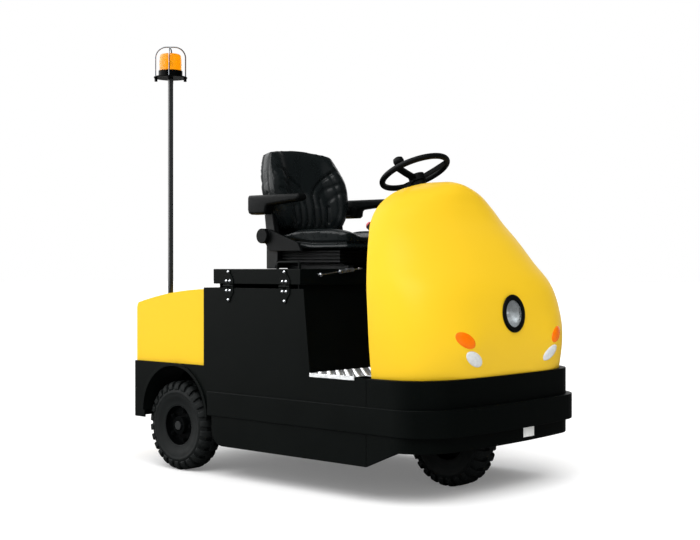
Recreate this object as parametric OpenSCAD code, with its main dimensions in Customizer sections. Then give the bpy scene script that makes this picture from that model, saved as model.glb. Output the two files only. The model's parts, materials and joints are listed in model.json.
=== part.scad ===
// Three-wheeled electric airport tow tractor: plate chassis, moulded cowl, hinged seat deck, beacon mast.
// Millimetres, +Z up, +X forward, +Y to the driver's left. Stations along X start at the rear axle.

/* [Overall] */
// Length of the body from the rear plate to the front of the bumper band
body_len = 1806; // [1780:1:1900]
// Width over the bumper band
body_w = 1120; // [1100:1:1180]
// Distance from the front axle to the front of the bumper band
front_overhang = 349; // [340:1:360]
// Distance from the rear plate to the rear axle
rear_overhang = 280; // [276:1:300]
// How far the tow hitch stands out behind the rear plate
hitch_reach = 94; // [80:1:120]

/* [Levels] */
// Top of the sill, front apron and floor line
sill_z = 490; // [486:1:500]
// Top of the bumper band
band_top = 379; // [370:1:395]
// Bottom of the bumper band
band_bottom = 272; // [262:1:280]
// Bottom of the front apron
apron_bottom = 210; // [200:1:225]
// Bottom of the side skirts
skirt_bottom = 142; // [130:1:155]
// Bottom of the rear plate
rear_bottom = 228; // [218:1:240]
// Top of the battery bay side panels
panel_top = 838; // [820:1:850]
// Top of the hinged seat deck
deck_top = 920; // [910:1:935]

/* [Chassis] */
// Thickness of the chassis plates
plate_t = 8; // [6:0.5:10]
// How far the bumper band stands out from the side plates
band_side = 8; // [6:0.5:10]
// How far the bumper band stands out from the front apron
band_front = 30; // [20:1:36]
// Plan radius of the front corners of the apron
corner_r = 190; // [160:5:210]
// Plan radius of the bowed front
bow_r = 3400; // [2800:100:4200]
// Radius of the rear wheel arch
arch_r = 216; // [214:1:218]
// Height of the arch centre above the ground
arch_z = 262; // [258:1:266]

/* [Wheels] */
// Outer diameter of the tyres
tyre_d = 406; // [400:1:408]
// Width of the tyres
tyre_w = 112; // [104:1:116]
// Diameter of the wheel rims over their flanges
rim_d = 226; // [220:1:230]
// Number of lugs on each shoulder of a tyre
lug_count = 26; // [20:1:32]
// Depth of the grooves between the lugs
lug_depth = 12; // [8:0.5:14]
// How far the rear tyres stand inside the side plates
tyre_inset = 17; // [10:1:25]
// Radius of the rear axle stubs
stub_r = 20; // [18:0.5:22]
// Radius of the front axle
axle_r = 15; // [13:0.5:17]

/* [Seat deck] */
// Front end of the seat deck as a share of the wheelbase
deck_share = 0.69; // [0.68:0.005:0.7]
// Thickness of the deck sheet
deck_t = 6; // [4:0.5:8]
// Radius of the hinge knuckles
knuckle_r = 6; // [5:0.5:6.5]

/* [Cowl and steering] */
// Wall of the moulded covers
shell_t = 6; // [5:0.5:8]
// Diameter of the steering wheel over its rim
wheel_d = 324; // [300:2:326]
// Angle of the steering wheel from level
wheel_tilt = 25; // [20:1:30]
// Height of the middle of the steering wheel
wheel_z = 1342; // [1335:1:1360]

/* [Seat] */
// Width of the seat cushion
seat_w = 500; // [470:2:520]
// Top of the seat cushion at its edges
seat_z = 1085; // [1080:1:1100]
// Recline of the backrest from upright
recline = 12; // [8:1:14]

/* [Beacon] */
// Diameter of the beacon mast
mast_d = 25; // [22:1:30]
// Top of the mast
mast_top = 1815; // [1700:5:1900]
// Diameter of the beacon lens
lens_d = 104; // [96:1:110]

/* [Hidden] */
$fn = 64;
fine = 360;
seat_gap = 0.3;
run_gap = 0.05;
through = 1;

wheelbase = body_len - rear_overhang - front_overhang;
rear_axle_x = rear_overhang + hitch_reach - (body_len + hitch_reach) / 2;
rear_x = -rear_overhang;
front_x = body_len - rear_overhang;
skin_y = body_w / 2 - band_side;
inner_y = skin_y - plate_t - seat_gap;
apron_front = front_x - band_front;
joint_x = wheelbase - 3;
slope_end_x = wheelbase + 156;
wheel_r = tyre_d / 2;
track = 2 * (skin_y - tyre_inset) - tyre_w;

arch_x = 8;
arch_lip = 14;
arch_end = arch_x + arch_r;
tub_t = 5;
tub_depth = 170;
skirt_rear = arch_end + 38;
skirt_r = 70;

deck_rear = arch_end + 51;
deck_front = deck_share * wheelbase;
deck_bottom = panel_top + 17;
deck_under = deck_top - deck_t;
hinge_z = (panel_top + deck_bottom) / 2;
hinge_y = -(skin_y + 1);
panel_rear = arch_end - 14;
panel_front = deck_front + 18;
panel_foot = panel_front + 37;
step_end = joint_x - 60;

module at_axle() {
    translate([rear_axle_x, 0, 0]) children();
}

module both_sides() {
    children();
    mirror([0, 1, 0]) children();
}

// Extrudes an X-Z outline across the vehicle from y0 to y1
module across(y0, y1) {
    translate([0, y1, 0]) rotate([90, 0, 0]) linear_extrude(y1 - y0) children();
}

// A cylinder along Y between two stations
module y_rod(r, y0, y1, x = 0, z = 0) {
    translate([x, y0, z]) rotate([-90, 0, 0]) cylinder(r = r, h = y1 - y0);
}

// Body outline in plan: straight sides, round front corners and a bowed front, moved inwards by inset
module plan(half_w, front, r, inset = 0) {
    bow_x = front - bow_r;
    side = half_w - r;
    turn_x = bow_x + sqrt(pow(bow_r - r, 2) - side * side);
    spread = asin(side / (bow_r - r));
    reach = bow_r * 1.05;
    translate([rear_x, inset - half_w]) square([turn_x - rear_x, 2 * (half_w - inset)]);
    for (s = [-1, 1]) translate([turn_x, s * side]) circle(r - inset);
    intersection() {
        translate([bow_x, 0]) circle(bow_r - inset, $fn = 4 * fine);
        polygon([[bow_x, 0], [bow_x + reach, -reach * tan(spread)], [bow_x + reach, reach * tan(spread)]]);
        translate([joint_x, -half_w]) square([front, 2 * half_w]);
    }
}

// Chassis

module side_outline() {
    x0 = rear_x + plate_t;
    difference() {
        polygon([[x0, rear_bottom], [arch_x, rear_bottom], [arch_x, skirt_bottom], [joint_x, skirt_bottom],
            [joint_x, sill_z], [panel_foot, sill_z], [panel_front, panel_top], [panel_rear, panel_top],
            [panel_rear, sill_z], [x0, sill_z]]);
        translate([arch_x, arch_z]) circle(arch_r);
        translate([arch_x - arch_r, 0]) square([2 * arch_r, arch_z]);
        translate([arch_x, 0]) square([skirt_rear - arch_x, band_bottom]);
        translate([skirt_rear, skirt_bottom]) difference() {
            square(skirt_r);
            translate([skirt_r, skirt_r]) circle(skirt_r);
        }
    }
}

// Upper half of a ring about the arch centre
module arch_ring(r0, r1, y0, y1) {
    across(y0, y1) translate([arch_x, arch_z]) intersection() {
        difference() {
            circle(r1);
            circle(r0);
        }
        translate([-r1, 0]) square([2 * r1, r1]);
    }
}

module side_plates() {
    color("#1c2020") at_axle() both_sides() {
        across(skin_y - plate_t, skin_y) side_outline();
        arch_ring(arch_r, arch_r + arch_lip, skin_y, skin_y + band_side);
        arch_ring(arch_r, arch_r + tub_t, skin_y - tub_depth, skin_y);
    }
}

module front_apron() {
    flange_w = 34;
    color("#171b1b") at_axle() difference() {
        union() {
            translate([0, 0, skirt_bottom]) linear_extrude(sill_z - skirt_bottom) difference() {
                plan(skin_y, apron_front, corner_r);
                plan(skin_y, apron_front, corner_r, plate_t);
            }
            translate([0, 0, sill_z - plate_t]) linear_extrude(plate_t) difference() {
                plan(skin_y, apron_front, corner_r, plate_t / 2);
                plan(skin_y, apron_front, corner_r, flange_w);
            }
        }
        translate([rear_x - through, -body_w, 0])
            cube([joint_x + seat_gap - rear_x + through, 2 * body_w, 2 * sill_z]);
        across(-body_w, body_w) polygon([[joint_x, 0], [joint_x, skirt_bottom], [slope_end_x, apron_bottom],
            [body_len, apron_bottom], [body_len, 0]]);
    }
}

module bumper_band() {
    band_rear = arch_end + arch_lip + 2;
    color("#202524") at_axle() translate([0, 0, band_bottom]) linear_extrude(band_top - band_bottom)
        difference() {
            plan(body_w / 2, front_x, corner_r + band_side);
            plan(skin_y + seat_gap, apron_front + seat_gap, corner_r + seat_gap);
            translate([rear_x - through, -body_w]) square([band_rear - rear_x + through, 2 * body_w]);
        }
}

module rear_plate() {
    color("#1c2020") at_axle() translate([rear_x, -skin_y, rear_bottom])
        cube([plate_t - seat_gap, 2 * skin_y, sill_z - rear_bottom]);
}

floor_t = 5;
nosing_t = 4;
nosing_h = 16;
head_flange_r = 85;
floor_inset = 70;

// Tread plate over the sills, running on under the cowl, with a nosing folded over each step
module floor_plate() {
    floor_rear = panel_foot + 1;
    z0 = sill_z + seat_gap;
    color("#b9bcbd") at_axle() {
        translate([0, 0, z0]) linear_extrude(floor_t) difference() {
            union() {
                translate([floor_rear, -skin_y]) square([step_end - floor_rear, 2 * skin_y]);
                intersection() {
                    plan(skin_y, apron_front, corner_r, floor_inset);
                    translate([floor_rear, -skin_y]) square([front_x, 2 * skin_y]);
                }
            }
            translate([wheelbase, 0]) circle(head_flange_r + seat_gap);
        }
        both_sides() {
            translate([floor_rear, skin_y + seat_gap, z0 + floor_t - nosing_h])
                cube([step_end - floor_rear, nosing_t, nosing_h]);
            translate([floor_rear, skin_y - nosing_t, z0])
                cube([step_end - floor_rear, 2 * nosing_t + seat_gap, floor_t]);
        }
    }
}

bay_rear = panel_rear + 90;
bay_top_x = deck_front - 28;
bay_foot_x = panel_front - 2;
tray_z = apron_bottom - 5;
wall_y = inner_y - 6;

// Plates in front of and behind the battery, with a shelf to the rear cover; the deck rests on their tops
module bay_walls() {
    wall_top = deck_under - seat_gap;
    foot_z = tray_z + plate_t;
    color("#0f1212") at_axle() {
        across(-wall_y, wall_y) polygon([[bay_top_x, wall_top], [bay_top_x + plate_t, wall_top],
            [bay_top_x + plate_t, panel_top], [bay_foot_x + plate_t, sill_z], [bay_foot_x + plate_t, foot_z],
            [bay_foot_x, foot_z], [bay_foot_x, sill_z], [bay_top_x, panel_top]]);
        translate([bay_rear, -wall_y, foot_z]) cube([plate_t, 2 * wall_y, wall_top - foot_z]);
        translate([panel_rear + seat_gap, -wall_y, panel_top - plate_t])
            cube([bay_rear - panel_rear, 2 * wall_y, plate_t]);
    }
}

cross_h = 30;
cross_w = 154;
cross_z = sill_z - plate_t - seat_gap - cross_h;
head_r = 50;
bracket_y = track / 3.2;
axle_tube_r = 40;

// Battery tray, front cross member with the steering bore, rear deck with the axle brackets
module underframe() {
    rear_deck_z = sill_z - 20;
    rear_deck_y = skin_y - tub_depth - 6;
    tray_rear = skirt_rear + 4;
    tray_front = wheelbase - wheel_r - 30;
    bracket_w = 60;
    color("#141717") at_axle() {
        translate([tray_rear, -inner_y, tray_z]) cube([tray_front - tray_rear, 2 * inner_y, plate_t]);
        difference() {
            translate([wheelbase - cross_w / 2, -inner_y, cross_z]) cube([cross_w, 2 * inner_y, cross_h]);
            translate([wheelbase, 0, 0]) cylinder(r = head_r + seat_gap, h = 2 * sill_z);
        }
        difference() {
            union() {
                translate([rear_x + plate_t, -rear_deck_y, rear_deck_z])
                    cube([bay_rear - rear_x - plate_t, 2 * rear_deck_y, plate_t]);
                both_sides() translate([-bracket_w / 2, bracket_y - bracket_w / 2, wheel_r])
                    cube([bracket_w, bracket_w, rear_deck_z - wheel_r + through]);
            }
            y_rod(axle_tube_r + seat_gap, -body_w / 2, body_w / 2, 0, wheel_r);
        }
    }
}

// One block in place of the cells, standing on the tray
module battery() {
    end_gap = 20;
    side_gap = 68;
    top_gap = 136;
    z0 = tray_z + plate_t;
    half = wall_y - side_gap;
    color("#2d3133") at_axle() translate([bay_rear + plate_t + end_gap, -half, z0])
        cube([bay_top_x - bay_rear - plate_t - 2 * end_gap, 2 * half, deck_under - top_gap - z0]);
}

// Rear cover and hitch

cover_y = skin_y - 12;
cover_rear_z = 735;
cover_front_z = 832;
cover_bend_r = 42;
cover_crown_r = 2200;
cover_crown_x = panel_rear + 70;

// Side outline of the cover: upright rear, round bend and a slow crown up to the battery bay
module cover_outline(inset) {
    x0 = rear_x + 2 + inset;
    x1 = panel_rear - seat_gap;
    crown_z = cover_front_z - inset - cover_crown_r;
    intersection() {
        union() {
            translate([x0, sill_z]) square([x1 - x0, cover_rear_z - sill_z - inset]);
            translate([x0 + cover_bend_r, sill_z])
                square([x1 - x0 - cover_bend_r, cover_front_z - sill_z - inset]);
            translate([x0 + cover_bend_r, cover_rear_z - inset]) circle(cover_bend_r);
        }
        translate([cover_crown_x, crown_z]) circle(cover_crown_r, $fn = 2 * fine);
    }
}

mast_x = rear_x + 139;
mast_y = 90 - cover_y;
mast_lean = asin((cover_crown_x - mast_x) / cover_crown_r);
cover_top_at_mast = cover_front_z - cover_crown_r * (1 - cos(mast_lean));

module rear_cover() {
    color("#f7cf2d") at_axle() difference() {
        across(-cover_y, cover_y) cover_outline(0);
        translate([0, 0, -through]) across(shell_t - cover_y, cover_y - shell_t) cover_outline(shell_t);
        translate([panel_rear - 2 * shell_t, shell_t - cover_y, sill_z - through])
            cube([4 * shell_t, 2 * (cover_y - shell_t), cover_front_z - sill_z - shell_t]);
        translate([mast_x, mast_y, sill_z]) cylinder(d = mast_d + 2 * seat_gap, h = body_len);
    }
}

hitch_z = 330;
jaw_t = 12;
jaw_gap = 64;
hitch_bore_r = 16;
hitch_plate_t = 14;
pin_back = 34;

// Bolted tow hitch: back plate and two ears with a bore for the drop pin
module tow_hitch() {
    ear_w = 84;
    plate_w = 190;
    plate_h = 190;
    eye_x = rear_x - hitch_reach + pin_back;
    color("#26292a") at_axle() difference() {
        union() {
            translate([rear_x - hitch_plate_t, -plate_w / 2, hitch_z - plate_h / 2])
                cube([hitch_plate_t, plate_w, plate_h]);
            for (z = [hitch_z - jaw_gap / 2 - jaw_t, hitch_z + jaw_gap / 2]) translate([0, 0, z]) {
                translate([eye_x, -ear_w / 2, 0]) cube([rear_x - eye_x - hitch_plate_t / 2, ear_w, jaw_t]);
                translate([rear_x - hitch_reach, pin_back - ear_w / 2, 0])
                    cube([pin_back, ear_w - 2 * pin_back, jaw_t]);
                for (s = [-1, 1]) translate([eye_x, s * (ear_w / 2 - pin_back), 0])
                    cylinder(r = pin_back, h = jaw_t);
            }
        }
        translate([eye_x, 0, 0]) cylinder(r = hitch_bore_r, h = 2 * hitch_z);
    }
}

tail_y = skin_y - 112;
tail_z = sill_z - 50;

module tail_lamps() {
    color("#a31812") at_axle() both_sides() translate([rear_x, tail_y, tail_z]) rotate([0, -90, 0]) {
        cylinder(r = 36, h = 12);
        cylinder(r = 30, h = 18);
    }
}

// Seat deck and hinges

hinge_stations = [deck_rear + 101, deck_front - 90];
hinge_w = 62;
leaf_t = 4;
leaf_len = 52;
pin_r = 3;
knuckle_gap = 0.5;

// Tapered strap leaf on the outer face, from the knuckle up or down
module leaf(dir) {
    tip = 30;
    near = knuckle_r + 3;
    across(-skin_y - leaf_t, -skin_y) translate([0, hinge_z])
        polygon([[-hinge_w / 2, dir * near], [hinge_w / 2, dir * near], [hinge_w / 2, dir * leaf_len * 0.55],
            [tip / 2, dir * leaf_len], [-tip / 2, dir * leaf_len], [-hinge_w / 2, dir * leaf_len * 0.55]]);
}

// Knuckles from x0 to x1 with a web that ties them to their leaf
module knuckle(x0, x1, dir) {
    web = knuckle_r + 4;
    translate([x0, hinge_y, hinge_z]) rotate([0, 90, 0]) cylinder(r = knuckle_r, h = x1 - x0);
    translate([x0, -skin_y - leaf_t, dir > 0 ? hinge_z : hinge_z - web]) cube([x1 - x0, leaf_t - 1, web]);
}

module hinge_lower() {
    third = hinge_w / 3;
    color("#15181a") at_axle() for (x = hinge_stations) translate([x, 0, 0]) {
        leaf(-1);
        knuckle(-hinge_w / 2, -third / 2 - knuckle_gap, -1);
        knuckle(third / 2 + knuckle_gap, hinge_w / 2, -1);
        translate([-hinge_w / 2, hinge_y, hinge_z]) rotate([0, 90, 0]) cylinder(r = pin_r, h = hinge_w);
    }
}

module hinge_upper() {
    third = hinge_w / 3;
    color("#15181a") at_axle() for (x = hinge_stations) translate([x, 0, 0]) difference() {
        union() {
            leaf(1);
            knuckle(-third / 2, third / 2, 1);
        }
        translate([-hinge_w, hinge_y, hinge_z]) rotate([0, 90, 0])
            cylinder(r = pin_r + run_gap, h = 2 * hinge_w);
    }
}

// Folded lid over the battery, open below
module seat_deck() {
    color("#1f2423") at_axle() difference() {
        translate([deck_rear, -skin_y, deck_bottom])
            cube([deck_front - deck_rear, 2 * skin_y, deck_top - deck_bottom]);
        translate([deck_rear + deck_t, deck_t - skin_y, deck_bottom - through])
            cube([deck_front - deck_rear - 2 * deck_t, 2 * (skin_y - deck_t),
                deck_under - deck_bottom + through]);
    }
}

module deck_handle() {
    bar_r = 6;
    x1 = deck_front - 42;
    x0 = x1 - 130;
    rise = 28;
    bend = 11;
    y = 40 - skin_y;
    color("#101314") at_axle() translate([0, y, deck_top]) {
        for (x = [x0, x1]) translate([x, 0, 0]) cylinder(r = bar_r, h = rise - bend);
        translate([x0 + bend, 0, rise]) rotate([0, 90, 0]) cylinder(r = bar_r, h = x1 - x0 - 2 * bend);
        for (end = [[x0 + bend, 90], [x1 - bend, 0]])
            translate([end[0], 0, rise - bend]) rotate([90, 0, 0])
                rotate_extrude(start = end[1], angle = 90) translate([bend, 0]) circle(bar_r, $fn = 24);
    }
}

// Pull cable of the deck latch along the front edge, with a crimped sleeve
module release_cable() {
    x = deck_front + 10;
    y0 = 112 - skin_y;
    run = 262;
    drop = 6;
    color("#8d9092") at_axle() translate([x, y0, deck_top - 24]) rotate([-90 + drop, 0, 0]) {
        cylinder(r = 2.5, h = run, $fn = 24);
        translate([0, 0, 116]) cylinder(r = 9, h = 90, $fn = 32);
        for (h = [0, run - 12]) translate([0, 0, h]) rotate([0, -90, 0]) cylinder(r = 4, h = 10, $fn = 24);
        sphere(r = 9, $fn = 32);
    }
}

// Seat

rail_h = 25;
rail_y = 120;
rail_w = 36;
cushion_len = 465;
seat_front = deck_front - 17;
seat_rear = seat_front - cushion_len;
cushion_z = seat_z - 81;
back_x = seat_rear + 58;
back_z = seat_z + 5.5;
back_h = 385;
back_t = 82;

// Two slide rails on the deck, a narrow runner in each
module seat_rails() {
    foot_h = rail_h - 9;
    color("#3a3d3f") at_axle() both_sides() {
        translate([seat_rear + 10, rail_y, deck_top]) cube([380, rail_w, foot_h]);
        translate([seat_rear + 20, rail_y + 6, deck_top + foot_h])
            cube([340, rail_w - 12, rail_h - foot_h]);
    }
}

// Sprung base with a bellows skirt
module seat_suspension() {
    base_len = 384;
    half = seat_w / 2 - 40;
    z0 = deck_top + rail_h;
    folds = 4;
    fold_h = (cushion_z - seat_gap - z0) / (2 * folds);
    fold_in = 10;
    color("#0e1011") at_axle() translate([seat_rear + 6, 0, z0]) {
        translate([fold_in, fold_in - half, 0])
            cube([base_len - 2 * fold_in, 2 * (half - fold_in), 2 * folds * fold_h]);
        for (i = [0:folds - 1]) translate([0, -half, (2 * i + 0.5) * fold_h])
            cube([base_len, 2 * half, fold_h]);
    }
}

module soft_block(size, r) {
    hull() for (x = [r, size[0] - r], y = [r - size[1] / 2, size[1] / 2 - r], z = [r, size[2] - r])
        translate([x, y, z]) sphere(r = r, $fn = 20);
}

module seat_cushion() {
    color("#141718") at_axle() translate([seat_rear, 0, cushion_z])
        soft_block([cushion_len, seat_w, seat_z - cushion_z], 32);
}

module in_backrest() {
    translate([back_x, 0, back_z]) rotate([0, -recline, 0]) children();
}

// Backrest outline up its height, columns: share of the height, half width taken off
back_table = [[0.08, 24], [0.45, 0], [0.72, 8], [0.92, 42]];

module seat_back() {
    r = 30;
    half = seat_w / 2 - 12 - r;
    color("#141718") at_axle() in_backrest() translate([-back_t, 0, 0]) hull()
        for (row = back_table, s = [-1, 1], x = [r, back_t - r])
            translate([x, s * (half - row[1]), row[0] * back_h]) sphere(r = r, $fn = 20);
}

// Plastic back pan behind the backrest, with the pivot covers beside the cushion
module seat_shell() {
    pan_t = 26;
    pan_half = seat_w / 2 - 45;
    pivot_x = seat_rear - 24;
    pivot_z = seat_z - 15;
    cheek = [[-24, 0], [30, -70], [230, -70], [210, -34], [26, 30]];
    color("#0f1112") at_axle() {
        in_backrest() translate([-back_t - pan_t - seat_gap, -pan_half, -20])
            cube([pan_t, 2 * pan_half, back_h * 0.86]);
        both_sides() {
            y_rod(34, seat_w / 2 + seat_gap, seat_w / 2 + 40, pivot_x, pivot_z);
            across(seat_w / 2 + seat_gap, seat_w / 2 + 18) translate([pivot_x, pivot_z]) polygon(cheek);
        }
    }
}

arm_y = seat_w / 2 + 26;
arm_w = 58;
arm_z = seat_z + 169;

// Arm pads with a deep pivot end that stands on the side of the backrest
module armrests() {
    arm_x = seat_rear - 106;
    side = [[8, 0], [0, -10], [0, -62], [8, -80], [26, -88], [122, -88], [336, -42], [368, -34],
        [372, -10], [364, 0]];
    color("#181b1c") at_axle() both_sides() {
        across(arm_y, arm_y + arm_w) translate([arm_x, arm_z]) polygon(side);
        y_rod(20, seat_w / 2 - 16.4, arm_y, arm_x + 94, arm_z - 52);
    }
}

// Cowl, plan sections from the sill to the crown. Columns: height over the sill, rear edge from the
// front axle, half width as a share of the side plates, nose from the apron's front, squareness
cowl_base_z = sill_z + seat_gap;
cowl_table = [
    [0, 10, 0.969, -13, 3.4], [115, 8, 0.989, -2, 3.4], [223, 1, 0.989, -4, 3.3],
    [354, -16, 0.967, -24, 3.05], [456, -36, 0.920, -85, 2.75], [551, -53, 0.870, -165, 2.43],
    [630, -66, 0.813, -243, 2.17], [695, -71, 0.710, -284, 2.03], [750, -70, 0.540, -300, 2.05],
    [791, -66, 0.303, -315, 2.08], [808, -62, 0.109, -343, 2.06]];
cowl_rows = 26;
cowl_cols = 28;
pod_rise = 14;

// Smooth value between table rows
function hermite(a, b, c, d, t) =
    b + 0.5 * t * (c - a + t * (2 * a - 5 * b + 4 * c - d + t * (3 * (b - c) + d - a)));
function cowl_mix(u) =
    let (last = len(cowl_table) - 1, i = min(floor(u), last - 1), t = u - i,
        a = cowl_table[max(i - 1, 0)], b = cowl_table[i], c = cowl_table[i + 1],
        d = cowl_table[min(i + 2, last)])
    [for (k = [0:4]) hermite(a[k], b[k], c[k], d[k], t)];
// Section at a place in the table: z, rear edge, half width, nose, squareness
function cowl_row(u) =
    let (m = cowl_mix(u)) [cowl_base_z + m[0], wheelbase + m[1], m[2] * skin_y, apron_front + m[3], m[4]];
function signed_pow(v, p) = sign(v) * pow(abs(v), p);
lamp_side = 0.543 * skin_y;
lamp_level = sill_z + 115;
// Lamp pods swell from the lower front corners
function pod(y, z) =
    pod_rise * exp(-pow((abs(y) - lamp_side) / (0.19 * skin_y), 2) - pow((z - lamp_level) / 90, 2));
function cowl_point(i, j) =
    let (row = cowl_row(i * (len(cowl_table) - 1) / cowl_rows), t = -90 + 180 * j / cowl_cols,
        p = 2 / row[4], y = row[2] * signed_pow(sin(t), p),
        swell = j == 0 || j == cowl_cols ? 0 : pod(y, row[0]))
    [row[1] + (row[3] - row[1]) * pow(abs(cos(t)), p) + swell, y, row[0]];
function unit(v) = v / norm(v);

module cowl_skin() {
    outer = [for (i = [0:cowl_rows]) [for (j = [0:cowl_cols]) cowl_point(i, j)]];
    inner = [for (i = [0:cowl_rows]) [for (j = [0:cowl_cols])
        let (up = outer[min(i + 1, cowl_rows)][j] - outer[max(i - 1, 0)][j],
            on = outer[i][min(j + 1, cowl_cols)] - outer[i][max(j - 1, 0)],
            n = unit(cross(on, up)), q = outer[i][j] - shell_t * n)
        [j == 0 || j == cowl_cols ? outer[i][j][0] : q[0], q[1], i == 0 ? outer[i][j][2] : q[2]]]];
    wide = cowl_cols + 1;
    count = wide * (cowl_rows + 1);
    function at(i, j) = i * wide + j;
    points = [for (grid = [outer, inner], line = grid, p = line) p];
    walls = [for (i = [0:cowl_rows - 1], j = [0:cowl_cols - 1], tri = [
        [at(i, j), at(i + 1, j), at(i + 1, j + 1)], [at(i, j), at(i + 1, j + 1), at(i, j + 1)]]) tri];
    lining = [for (t = walls) [t[0] + count, t[2] + count, t[1] + count]];
    foot = [for (j = [0:cowl_cols - 1], tri = [[at(0, j), at(0, j + 1), at(0, j + 1) + count],
        [at(0, j), at(0, j + 1) + count, at(0, j) + count]]) tri];
    edges = [for (i = [0:cowl_rows - 1], tri = [
        [at(i, 0), at(i, 0) + count, at(i + 1, 0) + count], [at(i, 0), at(i + 1, 0) + count, at(i + 1, 0)],
        [at(i, cowl_cols), at(i + 1, cowl_cols), at(i + 1, cowl_cols) + count],
        [at(i, cowl_cols), at(i + 1, cowl_cols) + count, at(i, cowl_cols) + count]]) tri];
    top = cowl_rows;
    crown = [for (j = [1:cowl_cols - 1], tri = [[at(top, 0), at(top, j + 1), at(top, j)],
        [at(top, 0) + count, at(top, j) + count, at(top, j + 1) + count]]) tri];
    lip = [[at(top, 0), at(top, 0) + count, at(top, cowl_cols) + count],
        [at(top, 0), at(top, cowl_cols) + count, at(top, cowl_cols)]];
    polyhedron(points, concat(walls, lining, foot, edges, crown, lip), convexity = 6);
}

// Front lamps, each centre on the cowl
head_place = [apron_front - 19, 0, sill_z + 247];
head_pitch = 5.5;
head_lamp_r = 78;
head_lens_r = 56;
head_neck_r = head_lamp_r - 8;
head_seat = 13.3;
lamp_turn = 10;
lamp_roll = 25;
amber_place = [apron_front - 10, 0.58 * skin_y, sill_z + 152];
white_place = [apron_front - 4, 0.486 * skin_y, sill_z + 76];
amber_size = [106, 56];
white_size = [98, 50];

module oval(size, grow = 0) {
    polygon([for (a = [0:12:348]) [(size[0] / 2 + grow) * cos(a), (size[1] / 2 + grow) * sin(a)]]);
}

module at_head_lamp() {
    translate(head_place) rotate([0, 90 - head_pitch, 0]) children();
}

// Left lamp frame, its local Z pointing out of the cowl
module at_lamp(place) {
    translate(place) rotate([0, 0, lamp_turn]) rotate([0, 90, 0]) rotate([0, 0, 90 + lamp_roll]) children();
}

module cowl() {
    pocket = 60;
    color("#f9d02c") at_axle() difference() {
        cowl_skin();
        at_head_lamp() translate([0, 0, -pocket]) cylinder(r = head_neck_r + seat_gap, h = 2 * pocket);
        both_sides() {
            at_lamp(amber_place) translate([0, 0, -pocket]) linear_extrude(2 * pocket)
                oval(amber_size, seat_gap);
            at_lamp(white_place) translate([0, 0, -pocket]) linear_extrude(2 * pocket)
                oval(white_size, seat_gap);
        }
    }
}

module headlamp_bezel() {
    color("#0b0d0e") at_axle() at_head_lamp() rotate_extrude()
        polygon([[head_lens_r, -40], [head_neck_r, -40], [head_neck_r, head_seat], [head_lamp_r, head_seat],
            [head_lamp_r, head_seat + 3], [head_lamp_r - 6, head_seat + 8], [head_lens_r, head_seat + 6]]);
}

module headlamp_lens() {
    edge = head_lens_r - seat_gap;
    color("#dfe3e6") at_axle() at_head_lamp() rotate_extrude()
        polygon([[0, -30], [edge, -30], [edge, 12], [edge * 0.6, 16], [0, 18]]);
}

module lamp_lenses(place, size) {
    both_sides() at_lamp(place) translate([0, 0, -28]) linear_extrude(34) oval(size);
}

module indicator_lenses() {
    color("#f07a16") at_axle() lamp_lenses(amber_place, amber_size);
}

module sidelight_lenses() {
    color("#eceeee") at_axle() lamp_lenses(white_place, white_size);
}

// Dash and steering

wheel_x = wheelbase - 207;
dash_x = wheelbase - 8;
dash_lean = 7;
dash_foot_z = sill_z + 330;
dash_t = 10;
dash_lip = 26;
dash_back = 14;
dash_fit = 0.9;
dash_drop = 11;
column_r = 30;
shaft_r = 10;
column_len = 175;
hub_drop = 34;

module at_wheel() {
    translate([wheel_x, 0, wheel_z]) rotate([0, -wheel_tilt, 0]) children();
}

module in_dash() {
    translate([dash_x, 0, dash_foot_z]) rotate([0, -dash_lean, 0]) rotate([90, 0, 90]) children();
}

// Half width left for the dash inside a cowl section, at the dash's front face
function dash_half(row) =
    let (x = dash_x + dash_back + dash_t - (row[0] - dash_foot_z) * tan(dash_lean),
        u = max(0, min(1, (x - row[1]) / (row[3] - row[1]))))
    (row[2] - shell_t - dash_fit) * pow(1 - pow(u, row[4]), 1 / row[4]);

// Arch of the dash inside the cowl; local X is across, local Y is up
module dash_arch(inset) {
    rows = [for (u = [2.9:0.35:len(cowl_table) - 1.4]) cowl_row(u)];
    half = [for (r = rows)
        [dash_half(r) - inset, (r[0] - dash_foot_z - dash_drop) / cos(dash_lean) - inset * 0.8]];
    right = [for (i = [len(half) - 1:-1:0]) [-half[i][0], half[i][1]]];
    polygon(concat(half, right));
}

module dash_panel() {
    color("#0e1112") at_axle() difference() {
        union() {
            in_dash() translate([0, 0, dash_back]) linear_extrude(dash_t) dash_arch(0);
            in_dash() translate([0, 0, -dash_lip]) linear_extrude(dash_lip + dash_back + through)
                difference() {
                    dash_arch(0);
                    translate([0, -through]) dash_arch(24);
                }
            hull() {
                translate([wheelbase - 75, -110, wheel_z - 192]) cube([40, 220, 100]);
                translate([wheelbase - 137, -70, wheel_z - 172]) cube([40, 140, 50]);
            }
        }
        at_wheel() translate([0, 0, -2 * column_len]) cylinder(r = column_r + seat_gap, h = 2 * column_len);
    }
}

module steering_column() {
    color("#0c0e0f") at_axle() at_wheel() translate([0, 0, -column_len - hub_drop - 14]) difference() {
        cylinder(r = column_r, h = column_len);
        translate([0, 0, column_len - 90]) cylinder(r = shaft_r + run_gap, h = 90 + through);
    }
}

rim_tube_r = 13;
spoke_angles = [-80, 40, 160];

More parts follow.
